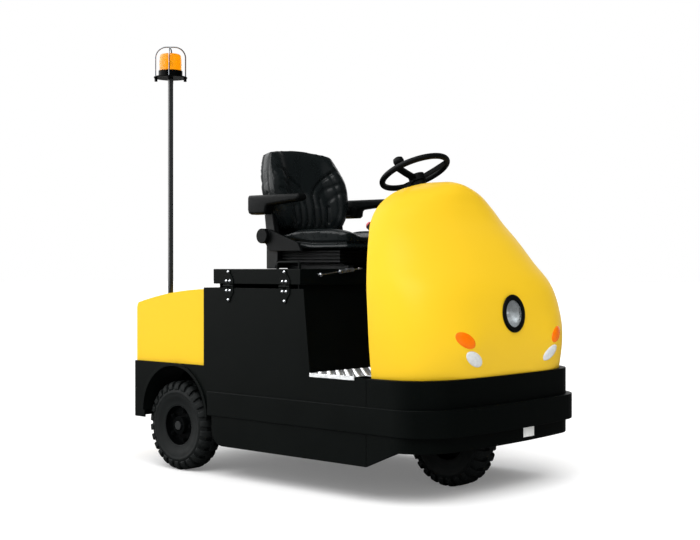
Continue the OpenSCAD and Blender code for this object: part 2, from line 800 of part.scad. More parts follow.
// Rim, dished spokes, hub with its shaft, and the spinner knob over one spoke
module steering_wheel() {
    rim_r = wheel_d / 2 - rim_tube_r;
    knob_r = rim_r - 34;
    color("#17191b") at_axle() at_wheel() {
        rotate_extrude() translate([rim_r, 0]) circle(rim_tube_r, $fn = 32);
        translate([0, 0, -hub_drop - 13]) cylinder(r = 36, h = 30);
        translate([0, 0, -hub_drop - 90]) cylinder(r = shaft_r, h = 90);
        for (a = spoke_angles) rotate([0, 0, a]) across(-14, 14)
            polygon([[20, -hub_drop - 6], [20, -hub_drop + 8], [rim_r * 0.55, -12], [rim_r, 6],
                [rim_r, -6], [rim_r * 0.58, -25]]);
        rotate([0, 0, spoke_angles[0]]) translate([knob_r, 0, -10]) {
            cylinder(r = 10, h = 36);
            rotate_extrude() polygon([[0, 24], [12, 24], [22, 36], [24, 46], [21, 58], [12, 63], [0, 63]]);
        }
    }
}

// Parking brake handle leaning out of a boss on the right of the dash
module brake_lever() {
    boss_h = 26;
    lever_lean = 45;
    color("#0b0d0e") at_axle() in_dash() translate([-0.6975 * skin_y, 210, dash_back - seat_gap]) {
        translate([0, 0, -boss_h]) cylinder(r = 24, h = boss_h);
        translate([0, 0, -boss_h + 6]) rotate([lever_lean, 0, 0]) rotate([180, 0, 0])
            rotate_extrude() polygon([[0, 0], [12, 0], [17, 100], [15, 116], [0, 120]]);
    }
}

// Pedals, columns: place across, width, height
pedal_table = [[-118, 76, 120], [-236, 62, 150]];
pedal_x = wheelbase + 103;

// Brake pedal beside the steering head and accelerator at the right, each on its foot
module pedals() {
    z0 = sill_z + seat_gap + floor_t;
    color("#1a1c1d") at_axle() for (p = pedal_table) translate([pedal_x, p[0], z0]) {
        translate([0, -p[1] / 2, 0]) cube([50, p[1], 12]);
        across(-p[1] / 2, p[1] / 2)
            polygon([[20, 10], [38, 10], [38 + p[2] * 0.35, p[2]], [26 + p[2] * 0.35, p[2]]]);
    }
}

// Beacon

base_r = lens_d / 2 + 4;
base_h = 34;
plate_r = base_r + 22;
lens_h = 78;
guard_wire = 3;
guard_top = 146;

module at_mast() {
    translate([mast_x, mast_y, 0]) children();
}

module beacon_mast() {
    tail = 30;
    color("#111415") at_axle() at_mast() translate([0, 0, cover_top_at_mast]) {
        translate([0, 0, -tail]) cylinder(d = mast_d, h = mast_top - cover_top_at_mast + tail);
        rotate([0, -mast_lean, 0]) translate([0, 0, seat_gap]) cylinder(r = mast_d, h = 8);
    }
}

module beacon_base() {
    color("#131617") at_axle() at_mast() translate([0, 0, mast_top]) {
        cylinder(r = plate_r, h = 5);
        cylinder(r = base_r, h = base_h);
        for (a = [45:90:315]) rotate([0, 0, a]) translate([plate_r - 10, 0, -16]) cylinder(r = 7, h = 18);
    }
}

module beacon_lens() {
    color("#f59a17") at_axle() at_mast() translate([0, 0, mast_top + base_h]) rotate_extrude()
        polygon([[0, 0], [lens_d / 2, 0], [lens_d / 2 - 3, lens_h - 8], [lens_d / 2 - 10, lens_h],
            [0, lens_h + 2]]);
}

// Two crossed wire hoops over the lens
module beacon_guard() {
    leg_r = plate_r - 8;
    bend = 52;
    color("#c9cdd0") at_axle() at_mast() translate([0, 0, mast_top]) for (a = [45, 135]) rotate([0, 0, a]) {
        z1 = a == 45 ? guard_top : guard_top - 2 * guard_wire;
        for (s = [-1, 1]) {
            translate([s * leg_r, 0, 5]) cylinder(r = guard_wire, h = z1 - bend - 5, $fn = 24);
            translate([s * (leg_r - bend), 0, z1 - bend]) rotate([90, 0, 0])
                rotate_extrude(start = s > 0 ? 0 : 90, angle = 90) translate([bend, 0])
                    circle(guard_wire, $fn = 24);
        }
        translate([bend - leg_r, 0, z1]) rotate([0, 90, 0])
            cylinder(r = guard_wire, h = 2 * (leg_r - bend), $fn = 24);
    }
}

// Axles and wheels

drum_y = track / 2 - 42;

// Drive axle with differential housing, brake drums and the traction motor
module drive_axle() {
    color("#1b1e1f") at_axle() {
        y_rod(axle_tube_r, -drum_y, drum_y, 0, wheel_r);
        y_rod(100, -80, 80, 0, wheel_r);
        both_sides() {
            y_rod(84, drum_y - 34, drum_y, 0, wheel_r);
            y_rod(stub_r, drum_y, track / 2 + 46, 0, wheel_r);
        }
        translate([0, 40, wheel_r + 34]) rotate([0, 90, 0]) cylinder(r = 88, h = bay_rear - 50);
    }
}

crown_z = tyre_d + 14;
crown_h = 22;
stem_r = 24;
leg_y = tyre_w / 2 + 10;
leg_t = 16;

module steer_head() {
    color("#25292a") at_axle() translate([wheelbase, 0, 0]) difference() {
        union() {
            translate([0, 0, crown_z + crown_h + seat_gap]) cylinder(r = head_r, h = 180);
            translate([0, 0, cross_z + cross_h]) cylinder(r = head_flange_r, h = 12);
        }
        cylinder(r = stem_r + run_gap, h = body_len);
    }
}

// Fork: stem, crown, two legs and the axle between them
module front_fork() {
    leg_w = 84;
    color("#1d2122") at_axle() translate([wheelbase, 0, 0]) {
        translate([0, 0, crown_z + crown_h - through]) cylinder(r = stem_r, h = 176);
        translate([-leg_w / 2, -leg_y - leg_t, crown_z]) cube([leg_w, 2 * (leg_y + leg_t), crown_h]);
        both_sides() {
            translate([-leg_w / 2, leg_y, wheel_r]) cube([leg_w, leg_t, crown_z - wheel_r + through]);
            y_rod(leg_w / 2, leg_y, leg_y + leg_t, 0, wheel_r);
            y_rod(axle_r + 8, leg_y + leg_t - through, leg_y + leg_t + 14, 0, wheel_r);
        }
        y_rod(axle_r, -leg_y - through, leg_y + through, 0, wheel_r);
    }
}

rim_half = 44;
bead_r = rim_d / 2 - 12;
well_t = 6;

// Pressed wheel about its own axis, outer face up: barrel, flanges, dished disc and hub
module rim_solid(bore_r, hub_in, hub_out) {
    hub_r = 40;
    dish = 10;
    disc_t = 7;
    nuts = 5;
    nut_ring = (hub_r + bead_r - well_t) / 2;
    flange_r = rim_d / 2;
    rotate_extrude() union() {
        translate([bead_r - well_t, -rim_half]) square([well_t, 2 * rim_half]);
        for (s = [-1, 1]) translate([bead_r - well_t, s * (rim_half - 2) - 2])
            square([flange_r - bead_r + well_t, 4]);
        translate([hub_r - 1, dish]) square([bead_r - well_t - hub_r + 2, disc_t]);
        translate([bore_r, -hub_in]) square([hub_r - bore_r, hub_in + hub_out]);
    }
    for (i = [0:nuts - 1]) rotate([0, 0, i * 360 / nuts]) translate([nut_ring, 0, dish + 1]) {
        cylinder(r = 11, h = disc_t + 11, $fn = 6);
        cylinder(r = 6, h = disc_t + 18);
    }
}

// Tyre section: bead between the flanges, full sidewalls and a flat tread
module tyre_section() {
    bead_half = rim_half - 4 - seat_gap;
    half = tyre_w / 2;
    side = [[bead_r + seat_gap, bead_half], [rim_d / 2 + 3, bead_half], [rim_d / 2 + 12, half - 5],
        [rim_d / 2 + 34, half - 2], [wheel_r - 38, half], [wheel_r - 16, half - 3],
        [wheel_r - 4, half - 14], [wheel_r, half - 24]];
    polygon(concat(side, [for (i = [len(side) - 1:-1:0]) [side[i][0], -side[i][1]]]));
}

// Groove between two lugs, from beside the middle of the tread out over the shoulder
module lug_groove() {
    half = tyre_w / 2;
    gap = 0.4 * PI * tyre_d / lug_count;
    shoulder = 3 * lug_depth;
    rotate([90, 0, 0]) translate([0, 0, -gap / 2]) linear_extrude(gap)
        polygon([[wheel_r - shoulder, half - 5], [wheel_r - shoulder, half + 1], [wheel_r + 1, half + 1],
            [wheel_r + 1, 8], [wheel_r - lug_depth, 8], [wheel_r - lug_depth, half - 18]]);
}

module lugged_tyre() {
    pitch = 360 / lug_count;
    difference() {
        rotate_extrude() tyre_section();
        for (i = [0:lug_count - 1]) {
            rotate([0, 0, i * pitch]) lug_groove();
            rotate([0, 0, (i + 0.5) * pitch]) mirror([0, 0, 1]) lug_groove();
        }
    }
}

// A wheel's own axis laid along Y, its outer face to the given side
module at_wheel_centre(x, y, side) {
    translate([x, y, wheel_r]) rotate([side > 0 ? -90 : 90, 0, 0]) children();
}

module rim_at(x, y, side, bore_r, hub_in, hub_out) {
    color("#101213") at_axle() at_wheel_centre(x, y, side) rim_solid(bore_r + run_gap, hub_in, hub_out);
}

module tyre_at(x, y, side) {
    color("#1a1c1c") at_axle() at_wheel_centre(x, y, side) lugged_tyre();
}

module front_rim() {
    rim_at(wheelbase, 0, 1, axle_r, leg_y - 5, leg_y - 5);
}

module front_tyre() {
    tyre_at(wheelbase, 0, 1);
}

hub_in = 34;
hub_out = 40;

module rear_rim_right() {
    rim_at(0, -track / 2, -1, stub_r, hub_in, hub_out);
}

module rear_tyre_right() {
    tyre_at(0, -track / 2, -1);
}

module rear_rim_left() {
    rim_at(0, track / 2, 1, stub_r, hub_in, hub_out);
}

module rear_tyre_left() {
    tyre_at(0, track / 2, 1);
}

side_plates();
front_apron();
bumper_band();
rear_plate();
floor_plate();
bay_walls();
underframe();
battery();
rear_cover();
tow_hitch();
tail_lamps();
hinge_lower();
seat_deck();
hinge_upper();
deck_handle();
release_cable();
seat_rails();
seat_suspension();
seat_cushion();
seat_back();
seat_shell();
armrests();
cowl();
dash_panel();
steering_column();
steering_wheel();
brake_lever();
pedals();
headlamp_bezel();
headlamp_lens();
indicator_lenses();
sidelight_lenses();
beacon_mast();
beacon_base();
beacon_lens();
beacon_guard();
drive_axle();
steer_head();
front_fork();
front_rim();
front_tyre();
rear_rim_right();
rear_tyre_right();
rear_rim_left();
rear_tyre_left();
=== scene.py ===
"""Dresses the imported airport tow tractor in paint, mouldings, vinyl, rubber and lamp glass, in a white studio."""
import json
import math

import bmesh
import bpy
import numpy as np
from bpy.props import FloatProperty, FloatVectorProperty, IntProperty, PointerProperty
from mathutils import Matrix, Vector

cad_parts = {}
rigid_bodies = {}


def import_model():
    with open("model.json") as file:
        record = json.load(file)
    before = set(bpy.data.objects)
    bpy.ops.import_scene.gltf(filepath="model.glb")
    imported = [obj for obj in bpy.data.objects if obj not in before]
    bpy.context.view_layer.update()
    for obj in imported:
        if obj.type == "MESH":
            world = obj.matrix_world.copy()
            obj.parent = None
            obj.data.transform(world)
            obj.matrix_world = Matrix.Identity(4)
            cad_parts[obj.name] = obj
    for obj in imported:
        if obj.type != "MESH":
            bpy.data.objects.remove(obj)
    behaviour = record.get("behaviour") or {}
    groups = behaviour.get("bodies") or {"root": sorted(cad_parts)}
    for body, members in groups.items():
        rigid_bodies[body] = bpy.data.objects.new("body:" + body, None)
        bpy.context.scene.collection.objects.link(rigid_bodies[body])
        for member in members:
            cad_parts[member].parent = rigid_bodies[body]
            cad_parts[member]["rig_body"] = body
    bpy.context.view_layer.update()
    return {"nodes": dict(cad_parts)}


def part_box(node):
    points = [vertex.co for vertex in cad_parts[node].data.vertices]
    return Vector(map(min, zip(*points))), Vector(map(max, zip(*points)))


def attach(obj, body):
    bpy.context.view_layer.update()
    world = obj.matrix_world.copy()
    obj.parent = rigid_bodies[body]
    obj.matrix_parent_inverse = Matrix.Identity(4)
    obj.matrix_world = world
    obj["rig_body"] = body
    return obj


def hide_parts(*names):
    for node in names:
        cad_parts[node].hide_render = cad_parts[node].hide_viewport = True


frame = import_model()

bl_info = {
    "name": "Tow tractor finishes",
    "version": (1, 0, 0),
    "blender": (4, 5, 0),
    "location": "View3D > Sidebar > Tow tractor",
    "description": "Builds the paint, mouldings, seat, lamps and tyres of a three-wheeled tow tractor",
    "category": "Object",
}

AXLE_X = sum(c.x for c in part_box("rear_tyre_right")) / 2

# Stations shared with the solids, in millimetres from the rear axle, the centre line and the ground
WHEELBASE = 1177.0
SKIN_Y = 552.0
APRON_X = 1496.0
SILL_Z = 490.3
DECK_FRONT = 812.13
DECK_TOP = 920.0
HINGE_Z = 846.5
HINGES_X = (376.0, 722.13)
SEAT_X = (330.13, 795.13)
SEAT_Z = (1004.0, 1085.0)
BACK_FOOT = (388.13, 1090.5)
RECLINE = 12.0
WHEEL_R = 203.0
TYRE_W = 112.0
STEERING_Z = 1342.0
MAST = (-141.0, -450.0)
BEACON_FOOT = 1849.0
HEADLAMP_X, HEADLAMP_Z = 1477.0, 737.0
FLOOR_TOP = 495.3
STEP_X = (882.0, 1150.0)
DASH_SOLID_X, DASH_Z = 1169.0, 820.0

# Angles in degrees: the headlamp's axis from upright, the lamp lenses' rise outward and the dash's lean
HEADLAMP_TURN = 84.5
LENS_ROLL = 25.0
DASH_LEAN = 7.0

# Places and sizes of the scene's own pieces: the refitted dash, the blank plate, the lever's foot on the dash
DASH_X = 1193.0
PLATE_AT, PLATE_SIZE = (1496.5, 101, 247), (0.002, 0.077, 0.04)
LEVER_AT = (-0.6975 * SKIN_Y / 1000, 0.21, -0.0063)

# Cloth run of the seat: remesh size in metres, pressure and number of frames
VOXEL, PRESSURE, CLOTH_FRAMES = 0.006, 4.0, 20

# Camera found from the photograph: place, turn and pitch in degrees, focal length and image width in pixels
CAMERA_AT = (4390.6, -4194.4, 929.3)
CAMERA_TURN, CAMERA_PITCH = 42.19, 0.146
FOCAL_PX, IMAGE_PX, SENSOR = 1238.0, 700, 36.0

# Suns: name, direction toward the sun, strength and angle in degrees; Paper lights the floor alone
SUNS = (("Key", (0.3, -0.5, 0.8), 1.75, 45), ("Fill", (0.8, -0.3, 0.5), 0.36, 70),
        ("Paper", (0.6, 0.1, 0.79), 0.6, 40))

# Sky: direction of a bright area, the cosine where it begins (it is full at SKY_FULL), its low and its high
# level. The first area lights matt surfaces; the softbox and the backdrop after it show in glossy ones
SKY = (((-0.5, -0.4, 0.77), -0.3, 0.17, 0.9), ((-0.66, -0.62, 0.42), 0.45, 0.05, 4.2),
       ((-0.67, 0.74, 0.0), 0.72, 0.0, 1.0))
SKY_FULL = 0.9
SUN_GLOSS = 0.35
FLOOR_GLOW = 0.16
WHITE = (1, 1, 1, 1)


def mm(x, y, z):
    """A station in millimetres as a point of the row frame."""
    return Vector((AXLE_X + x / 1000, y / 1000, z / 1000))


def turn(degrees, axis):
    """A rotation about an axis through the origin."""
    return Matrix.Rotation(math.radians(degrees), 4, axis)


def linear(code):
    """An sRGB hex colour as linear RGBA."""
    channels = [int(code[i:i + 2], 16) / 255 for i in (1, 3, 5)]
    return tuple(c / 12.92 if c <= 0.04045 else ((c + 0.055) / 1.055) ** 2.4 for c in channels) + (1.0,)


class TractorSizes(bpy.types.PropertyGroup):
    """Sizes of the finishing work."""
    plate_edge: FloatProperty(name="Plate edge", description="Radius on the edges of the steel plates",
                              default=0.0025, unit="LENGTH")
    cover_edge: FloatProperty(name="Cover edge", description="Radius on the edges of the rear cover",
                              default=0.014, unit="LENGTH")
    cowl_wall: FloatProperty(name="Cowl wall", description="Wall of the moulded cowl", default=0.006, unit="LENGTH")
    bolt_radius: FloatProperty(name="Hinge bolt", description="Radius of the domed hinge bolts",
                               default=0.0072, unit="LENGTH")
    lug_count: IntProperty(name="Tyre lugs", description="Lugs on each shoulder of a tyre", default=26)
    lug_depth: FloatProperty(name="Lug depth", description="Depth of the grooves between the lugs",
                             default=0.012, unit="LENGTH")
    seam_depth: FloatProperty(name="Seam depth", description="Depth of the seams sewn into the seat",
                              default=0.007, unit="LENGTH")
    tread_pitch: FloatProperty(name="Tread pitch", description="Spacing of the raised bars on the step",
                               default=0.026, unit="LENGTH")


class TractorColours(bpy.types.PropertyGroup):
    """Colours of the main finishes."""
    chassis: FloatVectorProperty(name="Chassis", description="Powder coat of the plates", subtype="COLOR",
                                 size=4, default=linear("#070A09"))
    moulding: FloatVectorProperty(name="Moulding", description="Yellow of the cowl and rear cover",
                                  subtype="COLOR", size=4, default=linear("#F3C624"))
    vinyl: FloatVectorProperty(name="Vinyl", description="Seat cover", subtype="COLOR", size=4,
                               default=linear("#131819"))
    beacon: FloatVectorProperty(name="Beacon", description="Amber of the beacon lens", subtype="COLOR", size=4,
                                default=linear("#FFBE14"))


def add(tree, kind, inputs=None, **settings):
    """Adds a shader node: settings are its properties, inputs are values or sockets to link."""
    made = tree.nodes.new("ShaderNode" + kind)
    for name, value in settings.items():
        setattr(made, name, value)
    for key, value in (inputs or {}).items():
        if isinstance(value, bpy.types.NodeSocket):
            tree.links.new(value, made.inputs[key])
        else:
            made.inputs[key].default_value = value
    return made


def empty_tree(owner):
    """The node tree of a material or a world, with nothing in it."""
    owner.use_nodes = True
    owner.node_tree.nodes.clear()
    return owner.node_tree


def surface(name, light, dark, mottle, rough, grain, height, cells=False, specular=0.5, **shader):
    """A surface whose colour clouds between two colours over mottle mm, with a gloss range and a grain in mm."""
    light, dark = (linear(c) if isinstance(c, str) else c for c in (light, dark))
    found = bpy.data.materials.get(name)
    if found:
        return found
    material = bpy.data.materials.new(name)
    tree = empty_tree(material)
    place = add(tree, "TexCoord").outputs["Object"]
    cloud = add(tree, "TexNoise", {"Vector": place, "Scale": 1000 / mottle, "Detail": 4.0})
    tint = add(tree, "Mix", {0: cloud.outputs["Fac"], 6: dark, 7: light}, data_type="RGBA")
    gloss = add(tree, "MapRange", {"Value": cloud.outputs["Fac"], "From Min": 0.3, "From Max": 0.7,
                                   "To Min": rough[0], "To Max": rough[1]})
    if cells:
        relief = add(tree, "TexVoronoi", {"Vector": place, "Scale": 1000 / grain}).outputs["Distance"]
    else:
        relief = add(tree, "TexNoise", {"Vector": place, "Scale": 1000 / grain, "Detail": 2.0}).outputs["Fac"]
    bump = add(tree, "Bump", {"Strength": 1.0, "Distance": height / 1000, "Height": relief})
    skin = add(tree, "BsdfPrincipled", {"Base Color": tint.outputs[2], "Normal": bump.outputs["Normal"],
                                        "Roughness": gloss.outputs["Result"], "Specular IOR Level": specular,
                                        **shader})
    add(tree, "OutputMaterial", {"Surface": skin.outputs["BSDF"]})
    return material


def shade(colour, factor):
    """A colour made darker or lighter."""
    return tuple(min(1.0, c * factor) for c in colour[:3]) + (1.0,)


def powder_coat():
    """Powder-coated steel: satin black with a faint orange peel, drawn at 7 mm so that it shows."""
    black = bpy.context.scene.tractor_colours.chassis
    return surface("powder_coated_steel", black, shade(black, 0.75), 160, (0.38, 0.46), 7, 0.04, specular=0.035)


def moulded_yellow():
    """Gel-coated moulding: an even yellow with a soft gloss and hardly any texture."""
    yellow = bpy.context.scene.tractor_colours.moulding
    return surface("gelcoat_yellow", yellow, shade(yellow, 0.97), 420, (0.36, 0.42), 40, 0.12, specular=0.15)


def vinyl():
    """Coated vinyl: near black, glossy where it stretches, with a pebbled grain drawn at 3 mm."""
    black = bpy.context.scene.tractor_colours.vinyl
    return surface("coated_vinyl", black, shade(black, 0.7), 60, (0.24, 0.33), 3, 0.007, cells=True,
                   specular=0.2)


def moulded_black():
    """Moulded ABS with a spark-eroded grain, drawn at 2.5 mm: dull black, soft highlights."""
    return surface("textured_abs", "#0B0D0E", "#060808", 90, (0.42, 0.54), 2.5, 0.06, specular=0.08)


def wheel_rubber():
    """Carbon-black tyre rubber: dull, a little dusty, with a fine skin texture."""
    return surface("tyre_rubber", "#151818", "#0A0C0C", 45, (0.55, 0.72), 4, 0.12, specular=0.1)


def bellows_rubber():
    """Neoprene bellows: matt black folds with a slight bloom."""
    return surface("neoprene", "#0C0E0F", "#070809", 60, (0.55, 0.68), 4, 0.08, specular=0.15)


def rim_enamel():
    """Stoved enamel on a pressed rim: glossy black with slow waves in the coat."""
    return surface("stoved_enamel", "#060708", "#040505", 60, (0.16, 0.26), 14, 0.08, specular=0.03)


def mast_paint():
    """Gloss black paint on drawn tube: long clear highlights down its length."""
    return surface("gloss_painted_tube", "#202324", "#16191A", 80, (0.2, 0.3), 16, 0.004,
                   **{"Coat Weight": 0.4, "Coat Roughness": 0.1})


def cast_black():
    """Painted casting: dark grey with the pebbled skin of a sand mould."""
    return surface("painted_casting", "#131617", "#0B0D0E", 50, (0.5, 0.62), 5, 0.35, specular=0.2)


def zinc():
    """Zinc-plated steel: pale grey metal, cloudy in gloss."""
    return surface("zinc_plate", "#D4D7DA", "#AEB3B8", 8, (0.24, 0.4), 3, 0.03, Metallic=1.0)


def tread_aluminium():
    """Rolled tread plate: bright aluminium rubbed by boots, scuffed across the bars."""
    return surface("tread_aluminium", "#F0F1F1", "#B9BCBD", 18, (0.28, 0.5), 3, 0.15, Metallic=0.85)


def chrome():
    """Chromed wire: a mirror with a trace of blue."""
    return surface("chrome_wire", "#8D9196", "#6F7479", 12, (0.06, 0.14), 6, 0.01, Metallic=1.0)


def amber_dome():
    """Amber polycarbonate: clear orange that lets the sky through, with a little haze."""
    amber = bpy.context.scene.tractor_colours.beacon
    return surface("amber_polycarbonate", amber, shade(amber, 0.9), 30, (0.12, 0.2), 6, 0.15, specular=0.2,
                   **{"Transmission Weight": 0.8, "IOR": 1.3, "Emission Color": amber, "Emission Strength": 0.12})


def orange_lens():
    """Orange acrylic indicator lens over small prisms, 6 mm across."""
    return surface("orange_acrylic", "#FF7E00", "#F06A00", 20, (0.16, 0.24), 6, 0.4, cells=True, specular=0.3)


def clear_lens():
    """Clear acrylic side lamp over small prisms and a white reflector."""
    return surface("clear_acrylic", "#F4F6F6", "#C9CED0", 14, (0.1, 0.2), 7, 0.8, cells=True,
                   **{"Coat Weight": 0.7, "Coat Roughness": 0.05})


def red_lens():
    """Red acrylic tail lens over small prisms."""
    return surface("red_acrylic", "#B3140E", "#7F0A07", 16, (0.12, 0.2), 6, 0.5, cells=True,
                   **{"Coat Weight": 0.6, "Coat Roughness": 0.06})


def lamp_glass():
    """Pressed lamp glass: clear, with the flutes that spread the beam."""
    return surface("fluted_glass", "#FAFCFC", "#EEF2F3", 30, (0.04, 0.09), 11, 0.5, cells=True,
                   **{"Transmission Weight": 1.0, "IOR": 1.5})


def reflector():
    """Aluminised reflector with pressed facets 14 mm across."""
    return surface("aluminised_facets", "#EDEFF1", "#A9AEB2", 16, (0.3, 0.45), 14, 1.6, cells=True,
                   Metallic=0.6)


def battery_paint():
    """Painted battery tray: blue-grey, thick and slightly wavy."""
    return surface("battery_tray_paint", "#2B3236", "#23292D", 120, (0.4, 0.5), 9, 0.06)


def stainless_wire():
    """Stranded steel wire and a crimped sleeve: bright grey with dull streaks."""
    return surface("drawn_steel", "#DDE0E2", "#9DA2A6", 5, (0.22, 0.4), 3, 0.05, Metallic=1.0)


def white_enamel():
    """White enamelled plate, plain."""
    return surface("white_enamel", "#F1F2F0", "#E2E4E1", 20, (0.25, 0.35), 8, 0.03)


def red_plastic():
    """Moulded red nylon button."""
    return surface("red_nylon", "#C8102A", "#A80C22", 12, (0.3, 0.4), 3, 0.03)


def to_object(bm, name):
    """Turns a finished bmesh into an object of the scene."""
    mesh = bpy.data.meshes.new(name)
    bm.to_mesh(mesh)
    bm.free()
    made = bpy.data.objects.new(name, mesh)
    bpy.context.scene.collection.objects.link(made)
    return made


def keep(bm, name, material, body, replaces=(), smooth=40):
    """Turns a finished bmesh into a piece of the tractor."""
    return settle(to_object(bm, name), material, body, replaces, smooth)


def settle(piece, material, body, replaces=(), smooth=40):
    """Gives a piece its finish and its body, and hides the solids that it replaces."""
    piece.data.materials.clear()
    piece.data.materials.append(material)
    piece.data.shade_smooth()
    piece.data.set_sharp_from_angle(angle=math.radians(smooth))
    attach(piece, body)
    if replaces:
        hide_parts(*replaces)
    return piece


def soften(piece, width, segments, angle):
    """Rounds the edges of a piece that turn by more than an angle in degrees."""
    rounding = piece.modifiers.new("Rounded edges", "BEVEL")
    rounding.width = width
    rounding.segments = segments
    rounding.limit_method = "ANGLE"
    rounding.angle_limit = math.radians(angle)


def dress(node, material, edge=0.0015, segments=2, limit=32):
    """A copy of a solid with its sharp edges rounded, in place of the solid."""
    source = frame["nodes"][node]
    bm = bmesh.new()
    bm.from_mesh(source.data)
    bmesh.ops.remove_doubles(bm, verts=bm.verts, dist=1e-5)
    bmesh.ops.dissolve_limit(bm, angle_limit=math.radians(0.5), verts=bm.verts, edges=bm.edges,
                             delimit={"NORMAL"})
    piece = keep(bm, node + "_finish", material, source["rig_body"], (node,), limit)
    if edge:
        soften(piece, edge, segments, limit)
        even = piece.modifiers.new("Flat faces", "WEIGHTED_NORMAL")
        even.keep_sharp = True
    return piece


def turned(profile, steps=48):
    """A bmesh turned about Z from a profile of radius and height, in millimetres."""
    bm = bmesh.new()
    ring = [bm.verts.new((r / 1000, 0, h / 1000)) for r, h in profile]
    edges = [bm.edges.new(pair) for pair in zip(ring, ring[1:])]
    bmesh.ops.spin(bm, geom=ring + edges, cent=(0, 0, 0), axis=(0, 0, 1), angle=2 * math.pi, steps=steps,
                   use_merge=True)
    bmesh.ops.remove_doubles(bm, verts=bm.verts, dist=1e-6)
    bmesh.ops.recalc_face_normals(bm, faces=bm.faces)
    return bm


def slab(outline, push):
    """A flat outline of points pushed out into a solid plate."""
    bm = bmesh.new()
    face = bm.faces.new([bm.verts.new(point) for point in outline])
    grown = bmesh.ops.extrude_face_region(bm, geom=[face])
    bmesh.ops.translate(bm, vec=push, verts=[g for g in grown["geom"] if isinstance(g, bmesh.types.BMVert)])
    bmesh.ops.recalc_face_normals(bm, faces=bm.faces)
    return bm


def bevel(bm, edges, offset, segments, clamp=False):
    """Rounds some edges of a bmesh."""
    bmesh.ops.bevel(bm, geom=edges, offset=offset, segments=segments, profile=0.5, affect="EDGES", material=-1,
                    clamp_overlap=clamp)


def brick(centre, size):
    """A box of a size in metres about a point."""
    bm = bmesh.new()
    bmesh.ops.create_cube(bm, size=1.0)
    bmesh.ops.transform(bm, verts=bm.verts, matrix=Matrix.Translation(centre) @ Matrix.Diagonal((*size, 1)))
    return bm


def join(target, part, places=(Matrix.Identity(4),)):
    """Adds a bmesh to another one at each of several places, or where it stands."""
    mesh = bpy.data.meshes.new("part")
    part.to_mesh(mesh)
    part.free()
    for place in places:
        stamp = mesh.copy()
        stamp.transform(place)
        target.from_mesh(stamp)
        bpy.data.meshes.remove(stamp)
    bpy.data.meshes.remove(mesh)
    return target


def placed(part, *places):
    """A bmesh moved to one or more places."""
    return join(bmesh.new(), part, places)


# Cowl sections: height over the sill, rear edge from the front axle, half width as a share of the side
# plates, nose from the apron's front and squareness; the last row closes the crown
COWL = np.array([
    [0, 10, 0.969, -13, 3.4], [115, 8, 0.989, -2, 3.4], [223, 1, 0.989, -4, 3.3], [354, -20, 0.960, -24, 2.85],
    [456, -50, 0.894, -78, 2.35], [551, -85, 0.806, -142, 2.28], [630, -117, 0.710, -202, 2.28],
    [695, -127, 0.596, -233, 2.28], [750, -124, 0.430, -250, 2.2], [784, -113, 0.220, -274, 2.1],
    [799, -105, 0.070, -316, 2], [802, -103, 0.0, -352, 2]])
POD_SIDE = 0.543 * SKIN_Y
POD_Z = 605.0
POD_RISE = 14.0


def cowl_section(u):
    """Height, rear edge, half width, nose and squareness at a place in the table."""
    last = len(COWL) - 1
    i = min(int(u), last - 1)
    t = u - i
    a, b, c, d = COWL[max(i - 1, 0)], COWL[i], COWL[i + 1], COWL[min(i + 2, last)]
    z, rear, half, nose, square = b + 0.5 * t * (c - a + t * (2 * a - 5 * b + 4 * c - d + t * (3 * (b - c) + d - a)))
    return SILL_Z + z, WHEELBASE + rear, max(0.0, half) * SKIN_Y, APRON_X + nose, square


COWL_STEPS = np.array([cowl_section(u) for u in np.linspace(0, len(COWL) - 1, 881)])


def pod(y, z):
    """Swell of the lamp pods."""
    return POD_RISE * math.exp(-((abs(y) - POD_SIDE) / (0.19 * SKIN_Y)) ** 2 - ((z - POD_Z) / 90) ** 2)


def cowl_front(y, z):
    """Station of the cowl's outer face in front of a point."""
    rear, half, nose, square = (np.interp(z, COWL_STEPS[:, 0], COWL_STEPS[:, k]) for k in (1, 2, 3, 4))
    side = min(1.0, (abs(y) / half) ** (square / 2))
    return rear + (nose - rear) * math.sqrt(1 - side * side) ** (2 / square) + pod(y, z)


class TRACTOR_OT_chassis(bpy.types.Operator):
    """Paints the plates, rounds their edges and lays the tread plate"""
    bl_idname = "tractor.chassis"
    bl_label = "Chassis"

    def execute(self, context):
        sizes = context.scene.tractor_sizes
        paint = powder_coat()
        for node in ("side_plates", "front_apron", "bumper_band", "rear_plate"):
            dress(node, paint, sizes.plate_edge, 3)
        for node in ("bay_walls", "underframe"):
            dress(node, paint, 0.001, 1)
        dress("battery", battery_paint(), 0.004, 2)
        dress("floor_plate", tread_aluminium(), 0.001, 2)
        self.tread_bars(sizes.tread_pitch)
        plate = brick(mm(*PLATE_AT), PLATE_SIZE)
        bevel(plate, plate.edges[:], 0.0008, 2)
        keep(plate, "blank_plate", white_enamel(), "chassis")
        return {"FINISHED"}

    def tread_bars(self, pitch):
        """Raised lozenges in a basket pattern over the step."""
        bar = bmesh.new()
        bmesh.ops.create_cone(bar, cap_ends=True, segments=8, radius1=0.5, radius2=0.32, depth=1.0)
        bmesh.ops.scale(bar, vec=(pitch * 0.86, pitch * 0.26, 0.0032), verts=bar.verts)
        places = []
        start, width = mm(STEP_X[0], -540, FLOOR_TOP + 1.2), 1.09
        for i in range(int((STEP_X[1] - STEP_X[0]) / 1000 / pitch)):
            for j in range(int(width / pitch)):
                spot = start + Vector((i * pitch, (j + 0.3) * pitch, 0))
                places.append(Matrix.Translation(spot) @ turn(45 if (i + j) % 2 else -45, "Z"))
        keep(placed(bar, *places), "tread_bars", tread_aluminium(), "chassis")


